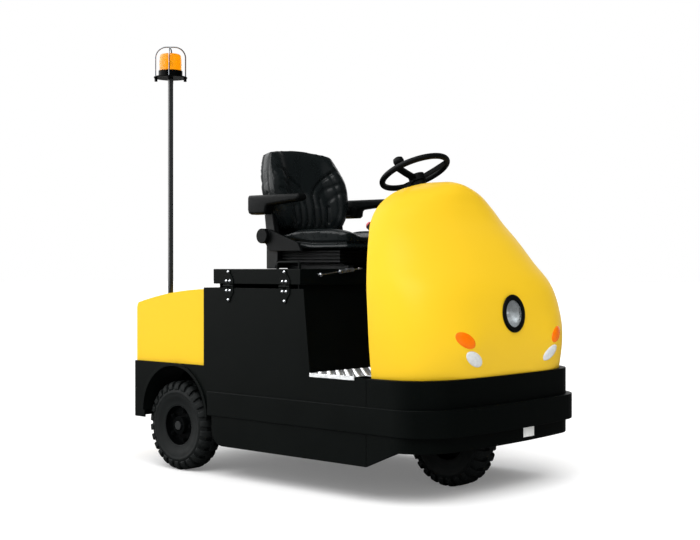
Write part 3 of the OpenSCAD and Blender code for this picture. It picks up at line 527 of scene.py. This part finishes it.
class TRACTOR_OT_covers(bpy.types.Operator):
    """Moulds the cowl over its sections and finishes the rear cover"""
    bl_idname = "tractor.covers"
    bl_label = "Cowl and rear cover"

    def execute(self, context):
        sizes = context.scene.tractor_sizes
        rows, columns = 88, 96
        cut, opening, near = 0.064, 0.071, 0.1
        bm = bmesh.new()
        bmesh.ops.create_grid(bm, x_segments=columns, y_segments=rows, size=1.0)
        for vert in bm.verts:
            z, rear, half, nose, square = cowl_section((vert.co.y + 1) / 2 * (len(COWL) - 1))
            around = vert.co.x * math.pi / 2
            power = 2 / square
            y = half * math.copysign(abs(math.sin(around)) ** power, around)
            swell = pod(y, z) if abs(vert.co.x) < 0.999 else 0.0
            vert.co = mm(rear + (nose - rear) * max(0.0, math.cos(around)) ** power + swell, y, z)
        bmesh.ops.remove_doubles(bm, verts=bm.verts, dist=1e-5)
        bmesh.ops.recalc_face_normals(bm, faces=bm.faces)
        nose = max(bm.faces, key=lambda face: face.calc_center_median().x)
        if nose.normal.x < 0:
            bmesh.ops.reverse_faces(bm, faces=bm.faces)
        lamp = mm(0, 0, HEADLAMP_Z)
        inside = [face for face in bm.faces if face.normal.x > 0.5
                  and (face.calc_center_median() - lamp).yz.length < cut]
        bmesh.ops.delete(bm, geom=inside, context="FACES")
        for vert in bm.verts:
            offset = (vert.co - lamp).yz
            if vert.is_boundary and offset.length < near and vert.co.x > lamp.x:
                vert.co.yz = lamp.yz + offset.normalized() * opening
        cowl = keep(bm, "cowl_moulding", moulded_yellow(), "chassis", ("cowl",), 60)
        wall = cowl.modifiers.new("Wall", "SOLIDIFY")
        wall.thickness = sizes.cowl_wall
        wall.offset = -1.0
        soften(cowl, 0.002, 3, 60)
        dress("rear_cover", moulded_yellow(), sizes.cover_edge, 5, 30)
        return {"FINISHED"}


class TRACTOR_OT_front_lamps(bpy.types.Operator):
    """Fits the headlamp and the four lenses that follow the cowl"""
    bl_idname = "tractor.front_lamps"
    bl_label = "Front lamps"

    def execute(self, context):
        self.lenses("indicator_lens", "indicator_lenses", orange_lens(), "amber_lens",
                    place=(0.58 * SKIN_Y, 642), size=(106, 56))
        self.lenses("sidelight_lens", "sidelight_lenses", clear_lens(), "white_lens",
                    place=(0.486 * SKIN_Y, 566), size=(112, 52))
        dress("headlamp_bezel", moulded_black(), 0.002, 3)
        lamp = Matrix.Translation(mm(HEADLAMP_X, 0, HEADLAMP_Z)) @ turn(HEADLAMP_TURN, "Y")
        glass = turned([(0, 21), (22, 20.6), (40, 19), (52, 16), (55.4, 13), (55.4, 9), (52, 10), (40, 14),
                        (22, 16), (0, 16.4)], 64)
        keep(placed(glass, lamp), "headlamp_glass", lamp_glass(), "chassis", ("headlamp_lens",))
        bowl = turned([(55, 8), (50, -4), (40, -15), (26, -23), (14, -27), (12, -27), (12, -12), (9, -7), (0, -6)],
                      64)
        keep(placed(bowl, lamp), "headlamp_reflector", reflector(), "chassis")
        return {"FINISHED"}

    def lenses(self, name, node, material, slot, place, size):
        """A pair of oval lenses whose faces follow the cowl, the outer end higher."""
        roll = math.radians(LENS_ROLL)
        dome, depth, sink = 7, 9, 1
        both = bmesh.new()
        for side in (1, -1):
            lens = bmesh.new()
            bmesh.ops.create_uvsphere(lens, u_segments=48, v_segments=24, radius=1.0)
            for vert in lens.verts:
                along, across, out = vert.co
                flat = math.hypot(along, across)
                edge = (flat ** 0.5 / flat) if flat > 1e-6 else 0.0
                along, across = along * edge * size[0] / 2, across * edge * size[1] / 2
                y = place[0] + along * math.cos(roll) - across * math.sin(roll)
                z = place[1] + along * math.sin(roll) + across * math.cos(roll)
                rise = out * (dome if out > 0 else depth) - sink
                vert.co = mm(cowl_front(y, z) + rise, y * side, z)
            bmesh.ops.recalc_face_normals(lens, faces=lens.faces)
            join(both, lens)
        keep(both, name, material, "chassis", (node,), 60)


class TRACTOR_OT_deck(bpy.types.Operator):
    """Finishes the seat deck, its hinges, bolts and handle, and the latch cable"""
    bl_idname = "tractor.deck"
    bl_label = "Seat deck"

    def execute(self, context):
        sizes = context.scene.tractor_sizes
        paint = powder_coat()
        dress("seat_deck", paint, sizes.plate_edge, 3)
        dress("deck_handle", paint, 0)
        for node in ("hinge_upper", "hinge_lower"):
            dress(node, paint, 0.0008, 2)
        for leaf, direction, body in (("deck", 1, "lid"), ("panel", -1, "chassis")):
            self.strap(leaf + "_straps", direction, body)
            self.bolts(leaf + "_bolts", direction, body, sizes.bolt_radius)
        self.cable()
        return {"FINISHED"}

    def strap(self, name, direction, body):
        """Tapered straps that lengthen the hinge leaves to the tip bolts."""
        outline = ((-19, 9), (19, 9), (19, 31), (9, 66), (5, 71), (-5, 71), (-9, 66), (-19, 31))
        straps = bmesh.new()
        for x in HINGES_X:
            join(straps, slab([mm(x + dx, -SKIN_Y, HINGE_Z + direction * dz) for dx, dz in outline],
                              (0, -0.0046, 0)))
        keep(straps, name, powder_coat(), body)

    def bolts(self, name, direction, body, radius):
        """Three domed bolts on a leaf: two by the knuckle and one at the tip."""
        r = radius * 1000
        dome = turned([(0, 0.68 * r), (0.36 * r, 0.63 * r), (0.68 * r, 0.46 * r), (0.9 * r, 0.22 * r), (r, 0.04 * r),
                       (r, -0.3 * r), (0, -0.3 * r)], 24)
        places = [Matrix.Translation(mm(x + dx, -SKIN_Y - 4, HINGE_Z + direction * dz)) @ turn(90, "X")
                  for x in HINGES_X for dx, dz in ((-11, 21), (11, 21), (0, 61))]
        keep(placed(dome, *places), name, zinc(), body)

    def cable(self):
        """Pull wire along the front edge of the deck with its ball, sleeve and two clips."""
        run, drop = 262.0, 6
        start = mm(DECK_FRONT + 10, 112 - SKIN_Y, DECK_TOP - 24)
        line = Matrix.Translation(start) @ turn(drop - 90, "X")
        wire = turned([(0, 0), (2.5, 0), (2.5, run), (0, run)], 16)
        bmesh.ops.subdivide_edges(wire, edges=[e for e in wire.edges if e.calc_length() > 0.2], cuts=20)
        cord = keep(placed(wire, line), "latch_wire", stainless_wire(), "lid", ("release_cable",))
        fittings = bmesh.new()
        sleeve = turned([(2.6, 114), (6, 114), (9, 118), (9, 148), (7.6, 150), (7.6, 154), (9, 156), (9, 202),
                         (6, 206), (2.6, 206)], 32)
        ball = turned([(0, -9), (4.5, -7.8), (7.8, -4.5), (9, 0), (7.8, 4.5), (4.5, 7.8), (2.6, 8.7), (2.6, 20)], 32)
        for part in (sleeve, ball):
            join(fittings, part, [line])
        clip = turned([(0, 0), (4, 0), (4, 9), (5.5, 10), (0, 10)], 20)
        join(fittings, clip, [line @ Matrix.Translation((0, 0, h / 1000)) @ turn(-90, "Y") for h in (0, run - 12)])
        sleeve_piece = keep(fittings, "latch_fittings", zinc(), "lid")


def stuffed(piece, cap):
    """Voxel remesh, then a short cloth run under pressure with each point's move capped, then one subdivision."""
    remesh = piece.modifiers.new("Remesh", "REMESH")
    remesh.mode = "VOXEL"
    remesh.voxel_size = VOXEL
    bake(piece)
    start = read(piece.data, "co")
    cloth = piece.modifiers.new("Cloth", "CLOTH")
    cloth.settings.use_pressure = True
    cloth.settings.uniform_pressure_force = PRESSURE
    cloth.settings.effector_weights.gravity = 0.0
    cloth.settings.quality = 5
    cloth.point_cache.frame_start, cloth.point_cache.frame_end = 1, CLOTH_FRAMES
    for step in range(1, CLOTH_FRAMES + 1):
        bpy.context.scene.frame_set(step)
    bake(piece)
    bpy.context.scene.frame_set(1)
    move = read(piece.data, "co") - start
    length = np.linalg.norm(move, axis=1, keepdims=True)
    move *= np.minimum(1.0, cap / np.maximum(length, 1e-9))
    write(piece.data, start + move)
    finer = piece.modifiers.new("Finer", "SUBSURF")
    finer.levels = finer.render_levels = 1
    bake(piece)


def bake(piece):
    """Makes a piece's modifiers part of its mesh."""
    bpy.context.view_layer.update()
    old = piece.data
    mesh = bpy.data.meshes.new_from_object(piece.evaluated_get(bpy.context.evaluated_depsgraph_get()))
    piece.modifiers.clear()
    piece.data = mesh
    bpy.data.meshes.remove(old)


def read(mesh, what):
    """Vertex places (co) or normals (normal) as an array."""
    flat = np.empty(len(mesh.vertices) * 3, np.float32)
    mesh.vertices.foreach_get(what, flat)
    return flat.reshape(-1, 3).astype(float)


def write(mesh, places):
    """Moves the vertices to the places in an array."""
    mesh.vertices.foreach_set("co", places.astype(np.float32).ravel())


def fade(distance, width):
    """One at no distance, fading to nothing over a width."""
    return np.exp(-(distance / width) ** 2)


def seam(flat, lines, width):
    """One along several polylines, fading to nothing on both sides of them."""
    best = np.full(len(flat), 1e9)
    for line in lines:
        for a, b in zip(np.array(line[:-1], float), np.array(line[1:], float)):
            along = b - a
            t = np.clip(((flat - a) @ along) / (along @ along), 0, 1)
            best = np.minimum(best, np.linalg.norm(flat - a - t[:, None] * along, axis=1))
    return fade(best, width)


def smoothstep(low, high, value):
    """Zero below low, one above high, with a soft rise between them."""
    t = np.clip((value - low) / (high - low), 0, 1)
    return t * t * (3 - 2 * t)


class TRACTOR_OT_seat(bpy.types.Operator):
    """Stuffs and sews the cushion and backrest, and finishes the frame under them"""
    bl_idname = "tractor.seat"
    bl_label = "Seat"

    def execute(self, context):
        depth = context.scene.tractor_sizes.seam_depth
        dress("seat_rails", cast_black(), 0.001, 1)
        dress("seat_suspension", bellows_rubber(), 0.0035, 3)
        dress("seat_shell", moulded_black(), 0.006, 3)
        self.frame()
        self.cushion(depth)
        self.backrest(depth)
        self.armrests()
        return {"FINISHED"}

    def frame(self):
        """Pressed side plates and a rear panel that carry the backrest over the slides."""
        outline = ((281, 0), (281, 150), (268, 246), (286, 262), (322, 250), (336, 172), (356, 96), (356, 40),
                   (340, 0))
        plates = bmesh.new()
        for side in (1, -1):
            join(plates, slab([mm(x, side * 204, DECK_TOP + 1 + z) for x, z in outline], (0, 0.03 * side, 0)))
        join(plates, brick(mm(292, 0, DECK_TOP + 78), (0.016, 0.41, 0.15)))
        piece = keep(plates, "seat_side_plates", cast_black(), "lid")
        soften(piece, 0.004, 3, 30)

    def block(self, name, cuts):
        """A finely cut cube as an object, with its points as an array between -1 and 1."""
        bm = bmesh.new()
        bmesh.ops.create_cube(bm, size=2.0)
        bmesh.ops.subdivide_edges(bm, edges=bm.edges[:], cuts=cuts, use_grid_fill=True)
        piece = to_object(bm, name)
        return piece, read(piece.data, "co")

    def cushion(self, depth):
        """A stuffed pad with raised sides, cross seams on top and a welt round its edge."""
        piece, cube = self.block("seat_cushion_vinyl", 24)
        a, b, c = cube.T
        along, across = a * np.sqrt(1 - 0.16 * b * b), b * np.sqrt(1 - 0.16 * a * a)
        length, width = (SEAT_X[1] - SEAT_X[0]) / 2000 - 0.006, 0.25 - 0.008
        bolster = smoothstep(0.5, 0.8, np.abs(across))
        front = smoothstep(0.35, 1.0, along)
        top = SEAT_Z[1] / 1000 - 0.004 + 0.018 * bolster * smoothstep(-0.9, -0.3, along) - 0.012 * front
        low = (SEAT_Z[0] + 6) / 1000
        rim = np.maximum(np.abs(a), np.abs(b))
        z = np.where(c > 0, top - 0.012 * rim ** 8, low) * (c + 1) / 2 + low * (1 - c) / 2
        x = mm((SEAT_X[0] + SEAT_X[1]) / 2, 0, 0).x + along * length * (1 - 0.015 * (1 - c))
        place = np.stack([x, across * width * (1 - 0.02 * (1 - c)), z], axis=1)
        write(piece.data, place)
        stuffed(piece, 0.002)
        co, normal = (read(piece.data, what) for what in ("co", "normal"))
        rear, front = mm(SEAT_X[0], 0, 0).x, mm(SEAT_X[1], 0, 0).x
        runs = [[(rear + 0.05, s * 0.165), (front - 0.03, s * 0.158)] for s in (-1, 1)]
        runs += [[(x0, -0.155), (x0, 0.155)] for x0 in np.linspace(rear + 0.12, front - 0.09, 5)]
        upper = smoothstep(0.2, 0.6, normal[:, 2])
        sink = depth * upper * seam(co[:, :2], runs, 0.007)
        side = 1 - smoothstep(0.45, 0.8, np.abs(normal[:, 2]))
        welt = SEAT_Z[0] / 1000 + 0.03 + 0.012 * smoothstep(front - 0.2, rear + 0.1, co[:, 0])
        sink += 1.6 * depth * side * fade(co[:, 2] - welt, 0.006)
        sink -= 0.5 * depth * side * fade(co[:, 2] - welt + 0.017, 0.008)
        co -= normal * sink[:, None]
        write(piece.data, co)
        settle(piece, vinyl(), "lid", ("seat_cushion",), 180)

    def backrest(self, depth):
        """A stuffed pad with bolsters, a sewn vee, flutes under it and folds at the sides."""
        piece, cube = self.block("seat_back_vinyl", 24)
        c, a, b = cube.T
        across, up = a * np.sqrt(1 - 0.2 * b * b), b * np.sqrt(1 - 0.2 * a * a)
        share = (up + 1) / 2
        half = np.interp(share, [0, 0.1, 0.3, 0.5, 0.72, 0.9, 1.0],
                         [0.2, 0.218, 0.243, 0.248, 0.245, 0.234, 0.216])
        lift = np.interp(share, [0, 0.15, 0.35, 0.6, 0.85, 1.0], [0.5, 0.9, 1.0, 0.95, 0.4, 0.15])
        bolster = smoothstep(0.42, 0.78, np.abs(across)) * lift
        face = -0.03 + 0.05 * bolster + 0.012 * fade(share - 0.3, 0.2) * (1 - bolster)
        rear = -0.094
        rim = np.maximum(np.abs(a), np.abs(b)) ** 8
        x = np.where(c > 0, face - 0.014 * rim, rear) * (c + 1) / 2 + (rear + 0.012 * rim) * (1 - c) / 2
        place = np.stack([x, across * half, 0.006 + share * 0.404], axis=1)
        write(piece.data, place)
        stuffed(piece, 0.003)
        co, normal = (read(piece.data, what) for what in ("co", "normal"))
        front = smoothstep(0.1, 0.5, normal[:, 0])
        vee = [[(s * 0.19, 0.31), (s * 0.152, 0.292), (s * 0.09, 0.25), (s * 0.05, 0.218), (s * 0.029, 0.19),
                (s * 0.025, 0.12), (s * 0.026, 0.045)] for s in (-1, 1)]
        flutes = [[(s * y0, top), (s * y1, low)] for s in (-1, 1)
                  for y0, y1, top, low in ((0.068, 0.066, 0.168, 0.045), (0.112, 0.104, 0.128, 0.055))]
        bolsters = [[(s * 0.152, 0.292), (s * 0.168, 0.2), (s * 0.16, 0.11), (s * 0.135, 0.04)] for s in (-1, 1)]
        folds = [[(s * 0.075, 0.19), (s * 0.127, 0.222), (s * 0.2, 0.243)] for s in (-1, 1)]
        folds += [[(s * 0.115, 0.155), (s * 0.16, 0.186), (s * 0.215, 0.2)] for s in (-1, 1)]
        flat = co[:, 1:]
        ribs = [[(s * y, 0.12), (s * y, 0.05)] for s in (-1, 1) for y in (0.0465, 0.089)] + [[(0, 0.185), (0, 0.05)]]
        sink = np.zeros(len(flat))
        for lines, deep, width in ((vee, 1.3, 0.009), (flutes, 1.1, 0.008), (bolsters, 0.6, 0.01),
                                   (folds, 0.55, 0.011), (ribs, -0.6, 0.012)):
            sink += deep * depth * front * seam(flat, lines, width)
        edge = 1 - smoothstep(0.35, 0.75, np.abs(normal[:, 0]))
        for station in (-0.03, -0.072):
            sink += 0.7 * depth * edge * fade(co[:, 0] - station, 0.004)
        co -= normal * sink[:, None]
        write(piece.data, co)
        piece.data.transform(Matrix.Translation(mm(BACK_FOOT[0], 0, BACK_FOOT[1])) @ turn(-RECLINE, "Y"))
        settle(piece, vinyl(), "lid", ("seat_back",), 180)

    def armrests(self):
        """Moulded foam arm pads with a deep pivot end, on short rods."""
        profile = ((42, 0), (34, -10), (34, -66), (40, -82), (54, -88), (140, -88), (152, -80), (156, -56),
                   (166, -48), (340, -34), (360, -27), (366, -12), (356, -2))
        both = bmesh.new()
        for side in (1, -1):
            pad = slab([mm(SEAT_X[0] - 106 + x, 276 * side, SEAT_Z[1] + 169 + z) for x, z in profile],
                       (0, 0.058 * side, 0))
            bevel(pad, [e for e in pad.edges if e.calc_face_angle(0) > math.radians(60)], 0.012, 5, True)
            join(both, pad)
        piece = keep(both, "arm_pads", moulded_black(), "lid", ("armrests",), 50)
        rod = turned([(0, 0), (18, 0), (20, 2), (20, 42.4), (0, 42.4)], 32)
        rods = placed(rod, *(Matrix.Translation(mm(SEAT_X[0] - 12, s * 233.6, SEAT_Z[1] + 117)) @ turn(-90 * s, "X")
                             for s in (1, -1)))
        keep(rods, "arm_pivots", cast_black(), "lid")


class TRACTOR_OT_controls(bpy.types.Operator):
    """Finishes the dash, steering wheel, lever and pedals"""
    bl_idname = "tractor.controls"
    bl_label = "Controls"

    def execute(self, context):
        self.dash()
        dress("steering_column", moulded_black(), 0.002, 2)
        dress("steering_wheel", moulded_black(), 0.003, 3, 40)
        dress("brake_lever", moulded_black(), 0.002, 2)
        dress("pedals", wheel_rubber(), 0.002, 2)
        dash = Matrix.Translation(mm(DASH_SOLID_X, 0, DASH_Z)) @ turn(-DASH_LEAN, "Y") @ turn(90, "Z") @ turn(90, "X")
        lever = dash @ Matrix.Translation(LEVER_AT) @ turn(225, "X")
        cap = turned([(0, 127), (7, 126.4), (12, 124), (15.6, 119), (17.2, 115), (17.2, 114), (0, 114)], 32)
        keep(placed(cap, lever), "brake_button", red_plastic(), "chassis")
        return {"FINISHED"}

    def dash(self):
        """An arched panel set inside the cowl, with a raised rim and a shroud round the steering column."""
        lean = math.tan(math.radians(DASH_LEAN))
        foot, top, gap, drop = SILL_Z + 333, SILL_Z + 775, 10, 14
        arch = []
        for z, rear, half, nose, square in COWL_STEPS:
            if foot < z < top:
                share = max(0.0, (DASH_X - (z - DASH_Z) * lean - rear) / (nose - rear))
                arch.append(((half - gap) * (1 - share ** square) ** (1 / square), z - drop))
        arch = arch[::12] + [arch[-1]]
        panel = slab([mm(DASH_X - (z - DASH_Z) * lean, side * y, z)
                      for side, run in ((1, arch), (-1, arch[::-1])) for y, z in run], (-0.04, 0, 0))
        back = min(panel.faces, key=lambda f: f.calc_center_median().x)
        bmesh.ops.inset_region(panel, faces=[back], thickness=0.007, depth=0.0)
        bmesh.ops.inset_region(panel, faces=[back], thickness=0.002, depth=-0.024)
        shroud = bmesh.new()
        bmesh.ops.create_cube(shroud, size=1.0)
        ends = {"rear": (1040, 140, 147, 50), "front": (1160, 220, 142, 100)}
        for vert in shroud.verts:
            x, wide, below, tall = ends["rear" if vert.co.x < 0 else "front"]
            vert.co = mm(x, vert.co.y * wide, STEERING_Z - below + vert.co.z * tall)
        bevel(shroud, shroud.edges[:], 0.01, 3)
        join(panel, shroud)
        piece = keep(panel, "dash_moulding", moulded_black(), "chassis", ("dash_panel",))
        soften(piece, 0.0015, 2, 50)


class TRACTOR_OT_beacon(bpy.types.Operator):
    """Builds the amber beacon with its lamp, and finishes the mast and wire guard"""
    bl_idname = "tractor.beacon"
    bl_label = "Beacon"

    def execute(self, context):
        dress("beacon_mast", mast_paint(), 0.001, 2)
        dress("beacon_base", rim_enamel(), 0.002, 3)
        dress("beacon_guard", chrome(), 0)
        top = Matrix.Translation(mm(*MAST, BEACON_FOOT))
        dome = turned([(0, 79.6), (30, 79.2), (42, 77.5), (47, 74), (49.5, 68), (51.4, 45), (51.8, 30), (51.2, 12),
                       (51.6, 3), (51.6, 0.4), (48, 0.4), (48, 12), (48.6, 30), (48.2, 45), (46.4, 67), (43, 72.6),
                       (30, 75.6), (0, 76)], 72)
        keep(placed(dome, top), "beacon_dome", amber_dome(), "chassis", ("beacon_lens",))
        tube = turned([(0, 52), (9, 50), (12, 44), (12, 18), (20, 12), (26, 2), (0, 2)], 32)
        keep(placed(tube, top), "beacon_lamp", white_enamel(), "chassis")
        return {"FINISHED"}


class TRACTOR_OT_running_gear(bpy.types.Operator):
    """Finishes the axles, fork, hitch and tail lamps, and builds the lugged tyres"""
    bl_idname = "tractor.running_gear"
    bl_label = "Running gear"

    def execute(self, context):
        sizes = context.scene.tractor_sizes
        for node in ("drive_axle", "steer_head", "front_fork", "tow_hitch"):
            dress(node, cast_black(), 0.002, 2)
        dress("tail_lamps", red_lens(), 0.003, 3)
        for wheel in ("front_{}", "rear_{}_right", "rear_{}_left"):
            rim, tyre, body = (wheel.format(kind) for kind in ("rim", "tyre", "wheel"))
            dress(rim, rim_enamel(), 0.0015, 2)
            self.tyre(tyre, body, sizes)
        return {"FINISHED"}

    def tyre(self, node, body, sizes):
        """A carcass with block lugs that wrap over both shoulders."""
        low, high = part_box(node)
        place = Matrix.Translation((low + high) / 2) @ turn(90 if node == "rear_tyre_right" else -90, "X")
        floor = WHEEL_R - sizes.lug_depth * 1000
        half = TYRE_W / 2
        side = [(117, 40), (91, 40), (90, 41.5), (92, 43.5), (104, 45), (117, 47.5), (127, 51), (140, 53.4),
                (147, 53.8), (150, 55.2), (156, 55.2), (159, 53.6), (WHEEL_R - 36, 51), (WHEEL_R - 26, 46),
                (floor - 2, 38.5), (floor, 36)]
        profile = [(r, -z) for r, z in side] + [(r, z) for r, z in reversed(side)] + [(117, -40)]
        whole = placed(turned(profile, 104), place)
        pitch = 360 / sizes.lug_count
        lug_side = [(WHEEL_R, -7.8), (WHEEL_R, 32), (WHEEL_R - 4, 42), (WHEEL_R - 16, half - 3), (WHEEL_R - 36, half),
                    (WHEEL_R - 41, 50), (WHEEL_R - 27, 44), (floor - 8, 34), (floor - 6, -7.8)]
        for sign in (1, -1):
            lug = bmesh.new()
            loop = [lug.verts.new((r / 1000, 0, sign * z / 1000)) for r, z in lug_side]
            face = lug.faces.new(loop)
            bmesh.ops.spin(lug, geom=[face], cent=(0, 0, 0), axis=(0, 0, 1), angle=math.radians(pitch * 0.6),
                           steps=3)
            bmesh.ops.recalc_face_normals(lug, faces=lug.faces)
            bevel(lug, [e for e in lug.edges if e.calc_face_angle(0) > math.radians(50)], 0.0018, 2, True)
            start = pitch * (0.2 if sign > 0 else 0.7)
            join(whole, lug, [place @ turn(start + i * pitch, "Z") for i in range(sizes.lug_count)])
        keep(whole, node + "_rubber", wheel_rubber(), body, (node,), 35)


class TRACTOR_OT_stage(bpy.types.Operator):
    """Sets the white studio, its lights and the camera"""
    bl_idname = "tractor.stage"
    bl_label = "Stage"

    def execute(self, context):
        scene = context.scene
        scene.view_settings.view_transform = "Standard"
        lit = bpy.data.collections.new("lit_floor")
        lit.objects.link(self.floor())
        self.sky(scene)
        for name, toward, strength, spread in SUNS:
            lamp = bpy.data.lights.new(name, "SUN")
            lamp.energy = strength
            lamp.angle = math.radians(spread)
            lamp.specular_factor = SUN_GLOSS
            sun = bpy.data.objects.new(name, lamp)
            sun.rotation_euler = Vector(toward).to_track_quat("Z", "Y").to_euler()
            scene.collection.objects.link(sun)
            if name == "Paper":
                sun.light_linking.receiver_collection = lit
        yaw, pitch = math.radians(CAMERA_TURN), math.radians(CAMERA_PITCH)
        back = Vector((math.sin(yaw) * math.cos(pitch), -math.cos(yaw) * math.cos(pitch), math.sin(pitch)))
        right = Vector((math.cos(yaw), math.sin(yaw), 0.0))
        view = Matrix((right, back.cross(right), back)).transposed().to_4x4()
        camera = bpy.data.cameras.new("Camera")
        camera.sensor_width = SENSOR
        camera.lens = FOCAL_PX / IMAGE_PX * SENSOR
        eye = bpy.data.objects.new("Camera", camera)
        eye.matrix_world = Matrix.Translation(mm(*CAMERA_AT)) @ view
        scene.collection.objects.link(eye)
        scene.camera = eye
        return {"FINISHED"}

    def floor(self):
        """A wide sheet of white paper that shows white to the camera, dull in reflections, and keeps the shadow."""
        bm = bmesh.new()
        bmesh.ops.create_grid(bm, x_segments=2, y_segments=2, size=60.0)
        sheet = to_object(bm, "studio_floor")
        sheet.location.z = -0.0005
        paper = bpy.data.materials.new("studio_paper")
        tree = empty_tree(paper)
        path = add(tree, "LightPath")
        tone = add(tree, "Mix", {0: path.outputs["Is Glossy Ray"], 6: linear("#EEEEEE"), 7: linear("#5A5A5A")},
                   data_type="RGBA")
        matt = add(tree, "BsdfDiffuse", {"Color": tone.outputs[2]})
        lift = add(tree, "Math", {0: path.outputs["Is Camera Ray"], 1: FLOOR_GLOW}, operation="MULTIPLY")
        glow = add(tree, "Emission", {"Color": WHITE, "Strength": lift.outputs[0]})
        both = add(tree, "AddShader", {0: matt.outputs[0], 1: glow.outputs[0]})
        add(tree, "OutputMaterial", {"Surface": both.outputs[0]})
        sheet.data.materials.append(paper)
        return sheet

    def sky(self, scene):
        """White to the camera and through glass; a softbox on the left and the white backdrop show in glosses."""
        world = bpy.data.worlds.new("Studio")
        scene.world = world
        tree = empty_tree(world)
        way = add(tree, "TexCoord").outputs["Generated"]
        path = add(tree, "LightPath")
        levels = []
        for box, start, low, high in SKY:
            facing = add(tree, "VectorMath", {0: way, 1: Vector(box).normalized()}, operation="DOT_PRODUCT")
            level = add(tree, "MapRange", {"Value": facing.outputs["Value"], "From Min": start,
                                           "From Max": SKY_FULL, "To Min": low, "To Max": high},
                        interpolation_type="SMOOTHSTEP")
            lit = add(tree, "Background", {"Color": WHITE, "Strength": level.outputs["Result"]})
            levels.append(lit.outputs[0])
        shine = add(tree, "AddShader", {0: levels[1], 1: levels[2]})
        room = add(tree, "MixShader", {0: path.outputs["Is Glossy Ray"], 1: levels[0], 2: shine.outputs[0]})
        white = add(tree, "Background", {"Color": WHITE, "Strength": 1.0})
        plain = add(tree, "Math", {0: path.outputs["Is Camera Ray"], 1: path.outputs["Is Transmission Ray"]},
                    operation="MAXIMUM")
        mix = add(tree, "MixShader", {0: plain.outputs[0], 1: room.outputs[0], 2: white.outputs[0]})
        add(tree, "OutputWorld", {"Surface": mix.outputs[0]})


OPERATORS = (TRACTOR_OT_stage, TRACTOR_OT_chassis, TRACTOR_OT_covers, TRACTOR_OT_front_lamps, TRACTOR_OT_deck,
             TRACTOR_OT_seat, TRACTOR_OT_controls, TRACTOR_OT_beacon, TRACTOR_OT_running_gear)


class TRACTOR_PT_sidebar(bpy.types.Panel):
    """Lists the sizes, colours and steps of the tow tractor"""
    bl_idname = "TRACTOR_PT_sidebar"
    bl_label = "Tow tractor"
    bl_space_type = "VIEW_3D"
    bl_region_type = "UI"
    bl_category = "Tow tractor"

    def draw(self, context):
        for group in (context.scene.tractor_sizes, context.scene.tractor_colours):
            for name in group.__annotations__:
                self.layout.prop(group, name)
        for operator in OPERATORS:
            self.layout.operator(operator.bl_idname)


CLASSES = (TractorSizes, TractorColours, *OPERATORS, TRACTOR_PT_sidebar)


def register():
    """Adds the groups, operators and panel to the program."""
    for cls in CLASSES:
        bpy.utils.register_class(cls)
    bpy.types.Scene.tractor_sizes = PointerProperty(type=TractorSizes)
    bpy.types.Scene.tractor_colours = PointerProperty(type=TractorColours)


def unregister():
    """Takes them away again."""
    del bpy.types.Scene.tractor_colours
    del bpy.types.Scene.tractor_sizes
    for cls in reversed(CLASSES):
        bpy.utils.unregister_class(cls)


def main():
    """Builds the tractor step by step."""
    register()
    bpy.ops.tractor.stage()
    bpy.ops.tractor.chassis()
    bpy.ops.tractor.covers()
    bpy.ops.tractor.front_lamps()
    bpy.ops.tractor.deck()
    bpy.ops.tractor.seat()
    bpy.ops.tractor.controls()
    bpy.ops.tractor.beacon()
    bpy.ops.tractor.running_gear()


if __name__ == "__main__":
    main()
